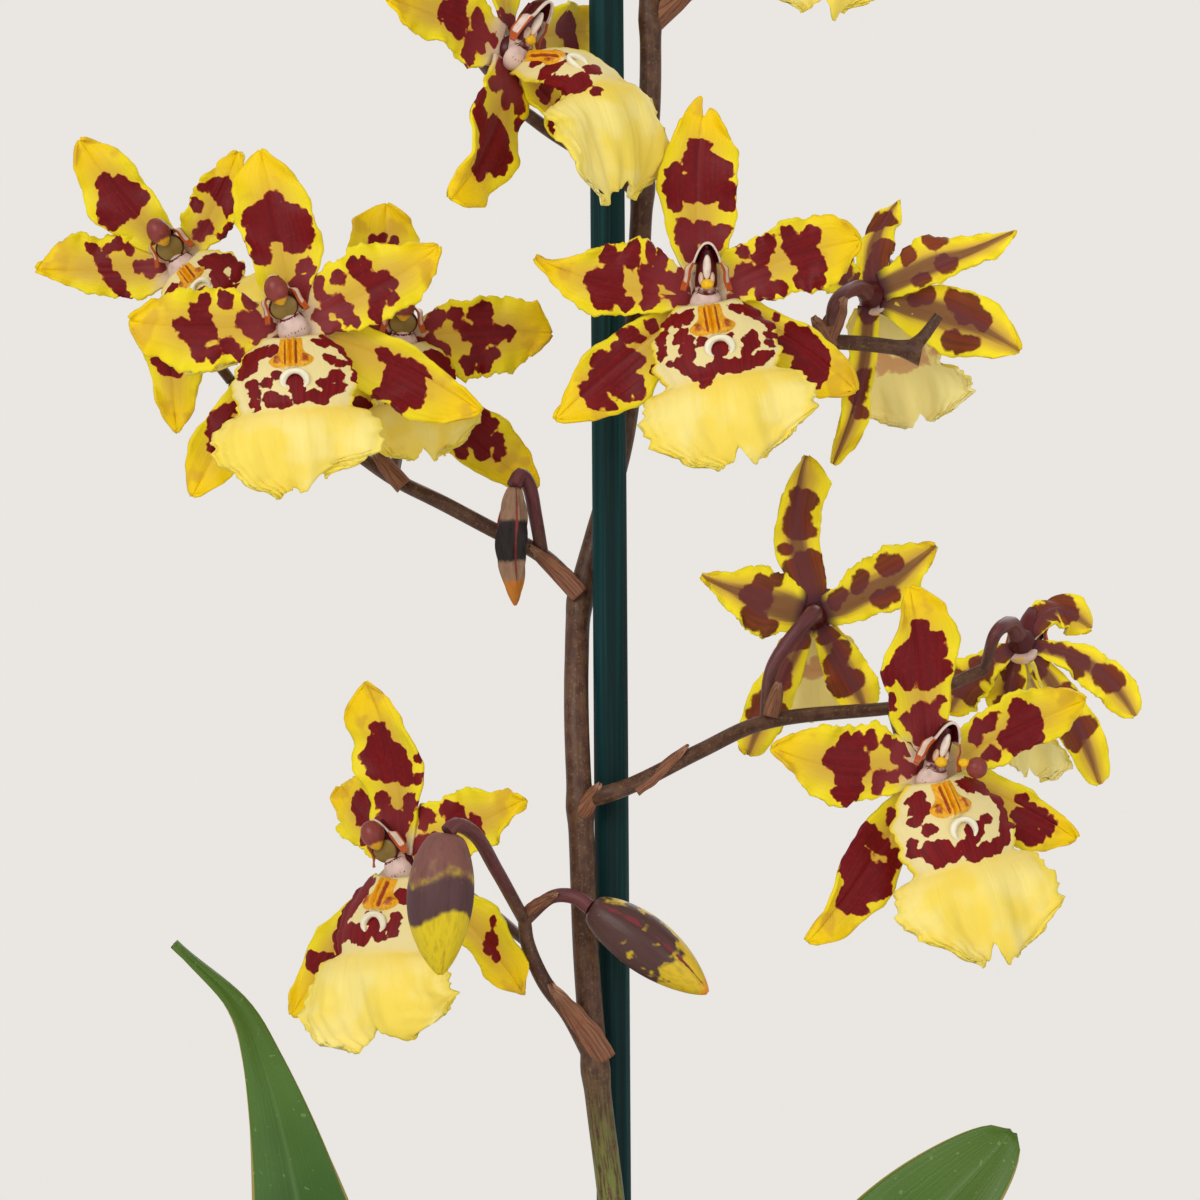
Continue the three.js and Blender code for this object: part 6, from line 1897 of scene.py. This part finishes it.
@dataclass
class LeafModel:
    """Builds one strap leaf."""

    leaf: Leaf
    skin: Material

    def build(self) -> None:
        """Makes the leaf as one sheet."""
        form = Form(f"{self.leaf.name}_blade")
        form.sheet(self.leaf.shape, bare, *LEAF_GRID)
        form.settle([self.skin, self.skin], [self.leaf.name], wall=LEAF_WALL)


# Pot, bark, bulbs, stake and clip


@dataclass
class Pot:
    """A plain round pot with a thick rim."""

    height: float = 118.0
    base_radius: float = 47.0
    shoulder_radius: float = 62.0
    rim_radius: float = 66.0
    rim_height: float = 14.0
    wall: float = 4.5
    floor: float = 6.0
    steps: int = 144

    def inner_radius(self, z: float) -> float:
        """Radius of the inside wall at a height."""
        rise = (self.shoulder_radius - self.base_radius) * z / (self.height - self.rim_height)
        return self.base_radius + rise - self.wall

    def _profile(self) -> list[tuple[float, float]]:
        """Radius and height along the wall, from the middle of the base round the rim to the floor."""
        shoulder = self.height - self.rim_height
        outer, inner = self.rim_radius, self.rim_radius - self.wall
        rounding = (1.57, 1.2, 0.8, 0.4, 0.0)
        lip = [(outer - 1.5 + 1.5 * math.sin(a), self.height - 1.5 + 1.5 * math.cos(a)) for a in rounding]
        brim = [(inner + 1 - math.sin(a), self.height - 1 + math.cos(a)) for a in (0.0, 0.5, 1.0, 1.57)]
        base = self.base_radius - 1.5
        foot = [(base + 1.5 * math.sin(a), 1.5 - 1.5 * math.cos(a)) for a in (0.0, 0.5, 1.0, 1.45)]
        return [
            (0, 0),
            *foot,
            (self.shoulder_radius - 0.4, shoulder - 2.4),
            (self.shoulder_radius + 0.5, shoulder - 0.8),
            (self.shoulder_radius + 2.2, shoulder + 0.2),
            (outer - 0.3, shoulder + 1.2),
            (outer, shoulder + 2.2),
            *lip,
            *brim,
            (self.inner_radius(shoulder) + 0.4, shoulder - 0.8),
            (self.inner_radius(shoulder), shoulder - 2),
            (self.inner_radius(self.floor) + 0.0, self.floor + 1.5),
            (self.inner_radius(self.floor) - 1.5, self.floor),
            (0, self.floor),
        ]

    def build(self) -> None:
        """Spins the profile into the pot."""
        form = Form("pot_body")
        verts = [form.mesh.verts.new((r * MM, 0, z * MM)) for r, z in self._profile()]
        edges = [form.mesh.edges.new(pair) for pair in zip(verts, verts[1:])]
        bmesh.ops.spin(
            form.mesh,
            geom=[*verts, *edges],
            cent=(0, 0, 0),
            axis=(0, 0, 1),
            angle=2 * math.pi,
            steps=self.steps,
            use_merge=True,
        )
        bmesh.ops.remove_doubles(form.mesh, verts=form.mesh.verts, dist=1e-6)
        bmesh.ops.recalc_face_normals(form.mesh, faces=form.mesh.faces)
        form.settle([GlazeFinish().material()], ["planter"], angle=50)


BULB_FEET: tuple[tuple[Point, Point], ...] = (
    ((-31, 17, 96), (16, 9, 36)), ((0, 22, 96), (17, 9.5, 40)), ((31, 17, 96), (15.5, 9, 37)),
)

ROOTS: tuple[tuple[Point, ...], ...] = (
    ((-30, 14, 101), (-40, 2, 107.5), (-46, -14, 106), (-47, -22, 96)),
    ((24, 14, 101), (27, 0, 108), (34, -18, 106), (36, -26, 96)),
    ((-6, 24, 101), (-14, 36, 108), (-24, 44, 105), (-27, 47, 96)),
)

RHIZOME: tuple[Point, ...] = ((-40, 17, 101), (-16, 19.5, 102), (0, 22, 102), (16, 19.5, 102), (38, 16, 101))


@dataclass
class Bulbs:
    """Three pseudobulbs, the creeping stem that joins them and a few thick roots."""

    ribs: int = 7

    def build(self) -> None:
        """Makes them as one piece of closed bodies that grow into each other."""
        form = Form("bulbs_and_roots")
        for foot, radii in BULB_FEET:
            centre = np.array(foot, float) + np.array([0, 0, 0.62 * radii[2]])

            def shape(b: Array, centre: Array = centre, radii: Point = radii) -> Array:
                """Places on the ribbed bulb."""
                angle = np.arctan2(b[:, 1], b[:, 0])
                round_off = 1 + 0.028 * np.cos(self.ribs * 2 * angle) * (1 - b[:, 2] ** 2)
                places = b * np.array(radii)
                places[:, :2] *= round_off[:, None]
                return centre + places

            form.ball(shape, 72, 48, lambda b: rows(ramp(-b[:, 2], 0.0, 0.75)))
        form.tube(Curve(RHIZOME), [4.2] * 5, 60, 24, self._ringed, lambda a, v: rows(0 * v + 0.9))
        for path in ROOTS:
            form.tube(Curve(path), [1.7, 1.7, 1.7, 1.4], 40, 16, self._wavy, lambda a, v: rows(0 * v + 1.0))
        form.settle([BulbFinish().material()], ["pseudobulbs"])

    @staticmethod
    def _ringed(angle: Array, v: Array) -> Array:
        """Rings on the creeping stem, which closes at both ends."""
        return 1 + 0.05 * np.sin(60 * v) - 0.7 * (1 - ramp(v, -0.02, 0.03)) - 0.7 * ramp(v, 0.97, 1.02)

    @staticmethod
    def _wavy(angle: Array, v: Array) -> Array:
        """The uneven skin of a root."""
        return 1 + 0.06 * np.sin(33 * v + 2 * angle)


@dataclass
class Bark:
    """A pot full of bark chips: a dark mass with loose chips on top."""

    pot: Pot
    top: float = 103.0
    chips: int = 330
    seed: int = 7

    def build(self) -> None:
        """Makes the mass and scatters the chips on it."""
        form = Form("bark_chips")
        self._mass(form)
        dice = random.Random(self.seed)
        for _ in range(self.chips):
            self._chip(form, dice)
        form.settle([BarkFinish().material()], ["potting_bark"], smooth=False)

    def _mass(self, form: Form) -> None:
        """The fill of the pot: a capped cone, narrower at the floor."""
        low, high = self.pot.floor + 0.35, self.top - 0.6
        wide = self.pot.inner_radius(self.top) - 0.6
        narrow = self.pot.inner_radius(low) - 0.4
        made = bmesh.ops.create_cone(
            form.mesh,
            cap_ends=True,
            segments=72,
            radius1=narrow * MM,
            radius2=wide * MM,
            depth=(high - low) * MM,
        )["verts"]
        bmesh.ops.translate(form.mesh, verts=made, vec=(0, 0, (high + low) / 2 * MM))

    def _chip(self, form: Form, dice: random.Random) -> None:
        """One chip: a flattened block with knocked-off corners."""
        reach = self.pot.inner_radius(self.top) - 5.5
        radius, angle = reach * math.sqrt(dice.random()), dice.uniform(0, 2 * math.pi)
        size = Vector((dice.uniform(4.5, 9.5), dice.uniform(3, 6), dice.uniform(1.6, 3.0)))
        place = Vector((radius * math.cos(angle), radius * math.sin(angle), self.top + dice.uniform(0.2, 3.6)))
        turn = Matrix.Rotation(dice.uniform(0, 6.3), 4, "Z")
        turn = turn @ Matrix.Rotation(dice.uniform(-0.35, 0.35), 4, "X")
        turn = turn @ Matrix.Rotation(dice.uniform(-0.4, 0.4), 4, "Y")
        shade = dice.random()
        made = bmesh.ops.create_icosphere(form.mesh, subdivisions=2, radius=1.0)["verts"]
        for vert in made:
            knock = 1 + 0.22 * noise.noise(vert.co * 1.7 + place)
            boxy = Vector([math.copysign(abs(c) ** 0.55, c) for c in vert.co])
            local = Vector([0.5 * s * c * knock for s, c in zip(size, boxy)])
            vert.co = (place + turn @ local) * MM
            vert[form.tint] = (shade, 0.0, 0.0)


@dataclass
class Stake:
    """The stained stake that carries the spike."""

    bottom: Point = (0.9, 0, 12)
    top: Point = (-2.7, 0, 574)
    radius: float = 3.15

    def build(self) -> None:
        """Makes the stake with a slightly split, uneven round section."""
        form = Form("stake_rod")
        middle = tuple((np.array(self.bottom) + np.array(self.top)) / 2)
        line = Curve((self.bottom, middle, self.top))
        form.tube(line, [self.radius] * 3, 80, 56, self._fluted)
        form.settle([StakeFinish().material()], ["stake"], angle=40)

    @staticmethod
    def _fluted(angle: Array, v: Array) -> Array:
        """Shallow flutes and a narrow bevel at each end."""
        flutes = 1 - 0.012 * np.abs(np.sin(6 * angle + 0.4)) - 0.01 * np.abs(np.sin(13 * angle))
        return flutes * (1 - 0.12 * ramp(v, 0.9985, 1.0)) * (1 - 0.12 * ramp(v, 0.0015, 0.0))


@dataclass
class Clip:
    """A moulded clip that holds stem and stake together."""

    height: float = 282.0
    tall: float = 6.0
    band: float = 1.1
    play: float = 0.4
    stem_hole: float = 3.0
    stake: Stake = field(default_factory=Stake)

    def _centres(self) -> tuple[Array, Array]:
        """Where the stake and the stem pass through."""
        low, high = np.array(self.stake.bottom), np.array(self.stake.top)
        pole = low + (high - low) * (self.height - low[2]) / (high[2] - low[2])
        walk = Curve(tuple(p[:3] for p in STEM)).at(np.linspace(0, 1, 2001))[0]
        return pole, walk[np.argmin(np.abs(walk[:, 2] - self.height))]

    def build(self) -> None:
        """Fills the outline round both rods, then extrudes it."""
        form = Form("clip_band")
        pole, stem = self._centres()
        bottom = self.height - self.tall / 2
        ring = bmesh.ops.create_circle(form.mesh, segments=96, radius=1.0)["verts"]
        for vert in ring:
            way = np.array([vert.co.x, vert.co.y])
            rods = ((pole[:2], self.stake.radius + self.play + self.band), (stem[:2], self.stem_hole + self.band))
            centre, reach = max(rods, key=lambda rod: float(rod[0] @ way) + rod[1])
            spot = centre + reach * way
            vert.co = (spot[0] * MM, spot[1] * MM, bottom * MM)
        for centre, reach in ((pole, self.stake.radius + self.play), (stem, self.stem_hole)):
            hole = bmesh.ops.create_circle(form.mesh, segments=48, radius=reach * MM)["verts"]
            bmesh.ops.translate(form.mesh, verts=hole, vec=(centre[0] * MM, centre[1] * MM, bottom * MM))
        faces = bmesh.ops.triangle_fill(form.mesh, edges=form.mesh.edges[:], use_beauty=True)["geom"]
        flat = [face for face in faces if isinstance(face, bmesh.types.BMFace)]
        raised = bmesh.ops.extrude_face_region(form.mesh, geom=flat)["geom"]
        bmesh.ops.translate(
            form.mesh,
            verts=[vert for vert in raised if isinstance(vert, bmesh.types.BMVert)],
            vec=(0, 0, self.tall * MM),
        )
        bmesh.ops.recalc_face_normals(form.mesh, faces=form.mesh.faces)
        form.settle([PlasticFinish().material()], ["stem_clip"], angle=35)


# Studio


@dataclass
class Studio:
    """Plain pale floor, soft light and the camera of the photograph."""

    paper: str = "eae6e2"
    eye: Point = (-3.6, -1000.0, 432.0)
    lens: float = 166.67

    def build(self) -> None:
        """Sets the world, the floor, the lights and the camera."""
        self._world()
        self._floor()
        self._lamp("key", (-0.8, -1.35, 1.1), 1.0, 12.0)
        self._lamp("fill", (1.0, -1.4, 0.3), 1.2, 6.0)
        self._lamp("rim", (0.5, 1.2, 1.3), 1.0, 5.0)
        self._camera()

    def _world(self) -> None:
        """A pale studio all round, a little dimmer as a light than as a backdrop."""
        world = bpy.data.worlds.new("studio")
        world.use_nodes = True
        tree = world.node_tree
        tree.nodes.clear()
        seen = tree.nodes.new("ShaderNodeBackground")
        seen.inputs["Color"].default_value = linear(self.paper)
        lit = tree.nodes.new("ShaderNodeBackground")
        lit.inputs["Color"].default_value = linear("f2f0ee")
        lit.inputs["Strength"].default_value = 0.7
        path = tree.nodes.new("ShaderNodeLightPath")
        blend = tree.nodes.new("ShaderNodeMixShader")
        end = tree.nodes.new("ShaderNodeOutputWorld")
        tree.links.new(path.outputs["Is Camera Ray"], blend.inputs[0])
        tree.links.new(lit.outputs[0], blend.inputs[1])
        tree.links.new(seen.outputs[0], blend.inputs[2])
        tree.links.new(blend.outputs[0], end.inputs["Surface"])
        bpy.context.scene.world = world

    def _floor(self) -> None:
        """A round pale floor that fades into the backdrop."""
        mesh = bmesh.new()
        bmesh.ops.create_circle(mesh, cap_ends=True, segments=96, radius=2.8)
        data = bpy.data.meshes.new("floor")
        mesh.to_mesh(data)
        mesh.free()
        g = Graph("floor_paper")
        place = g.add("ShaderNodeTexCoord", output="Object")
        reach = g.add("ShaderNodeVectorMath", {0: place}, "Value", operation="LENGTH")
        cloud = g.mix(g.grain(300.0), "e4e0dc", "e9e5e1")
        matt = g.add("ShaderNodeBsdfPrincipled", {"Base Color": cloud, "Roughness": 0.85})
        clear = g.add("ShaderNodeBsdfTransparent")
        both = g.add("ShaderNodeMixShader", {0: g.step(reach, 0.5, 2.6), 1: matt, 2: clear})
        g.add("ShaderNodeOutputMaterial", {"Surface": both})
        data.materials.append(g.material)
        floor = bpy.data.objects.new("floor", data)
        bpy.context.scene.collection.objects.link(floor)

    @staticmethod
    def _lamp(name: str, place: Point, size: float, power: float) -> None:
        """A square soft light that looks at the middle of the blooms."""
        light = bpy.data.lights.new(name, "AREA")
        light.shape, light.size, light.energy = "SQUARE", size, power
        lamp = bpy.data.objects.new(name, light)
        lamp.location = place
        lamp.rotation_euler = (Vector((0, 0, 0.42)) - Vector(place)).to_track_quat("-Z", "Y").to_euler()
        bpy.context.scene.collection.objects.link(lamp)

    def _camera(self) -> None:
        """A long lens about a metre in front, level with the middle of the photograph."""
        data = bpy.data.cameras.new("camera")
        data.lens, data.sensor_width = self.lens, 36.0
        data.clip_start, data.clip_end = 0.05, 50.0
        camera = bpy.data.objects.new("camera", data)
        camera.location = Vector(self.eye) * MM
        camera.rotation_euler = (math.radians(90), 0, 0)
        bpy.context.scene.collection.objects.link(camera)
        bpy.context.scene.camera = camera


def bud_finishes() -> dict[BudKind, Material]:
    """The skins of the buds."""
    return {
        BudKind.NEAR: TissueFinish(
            "bud_waxy_yellow", "dcc21c", "56393a", "b8722c", "7c5048",
            roughness=0.5, grit=2.4, soft=0.26, streak=0.08, gloss=0.2, shake=0.7,
        ).material(),
        BudKind.LOW: TissueFinish(
            "bud_waxy_mottled", "d8b61e", "4e302c", "7a2834", "e08f1e",
            roughness=0.4, grit=2.6, soft=0.12, streak=0.08, gloss=0.35, shake=1.5,
        ).material(),
        BudKind.DRIED: TissueFinish(
            "bud_dried_husk", "96745a", "1d1614", "7a2a24", "b06a1c",
            roughness=0.7, grit=1.4, soft=0.2, streak=0.3,
        ).material(),
        BudKind.TOP: TissueFinish(
            "bud_waxy_olive", "a8a038", "5a3a30", "7a3a34", "c9a22a",
            roughness=0.45, grit=1.6, soft=0.2, streak=0.2,
        ).material(),
    }


def main() -> None:
    """Builds every piece."""
    logging.basicConfig(level=logging.INFO, format="%(name)s %(message)s")
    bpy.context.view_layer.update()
    scene = bpy.context.scene
    scene.view_settings.view_transform = "Standard"
    pot = Pot()
    pot.build()
    Bark(pot).build()
    Bulbs().build()
    stake = Stake()
    stake.build()
    Clip(stake=stake).build()
    Spike().build()
    leaf_skin = LeafFinish().material()
    for leaf in LEAVES:
        LeafModel(leaf, leaf_skin).build()
    skins = bud_finishes()
    for bud in BUDS:
        BudModel(bud, skins).build()
    finishes = FlowerFinishes.build()
    for bloom in BLOOMS:
        BloomModel(bloom, finishes).build()
    Studio().build()


if __name__ == "__main__":
    main()
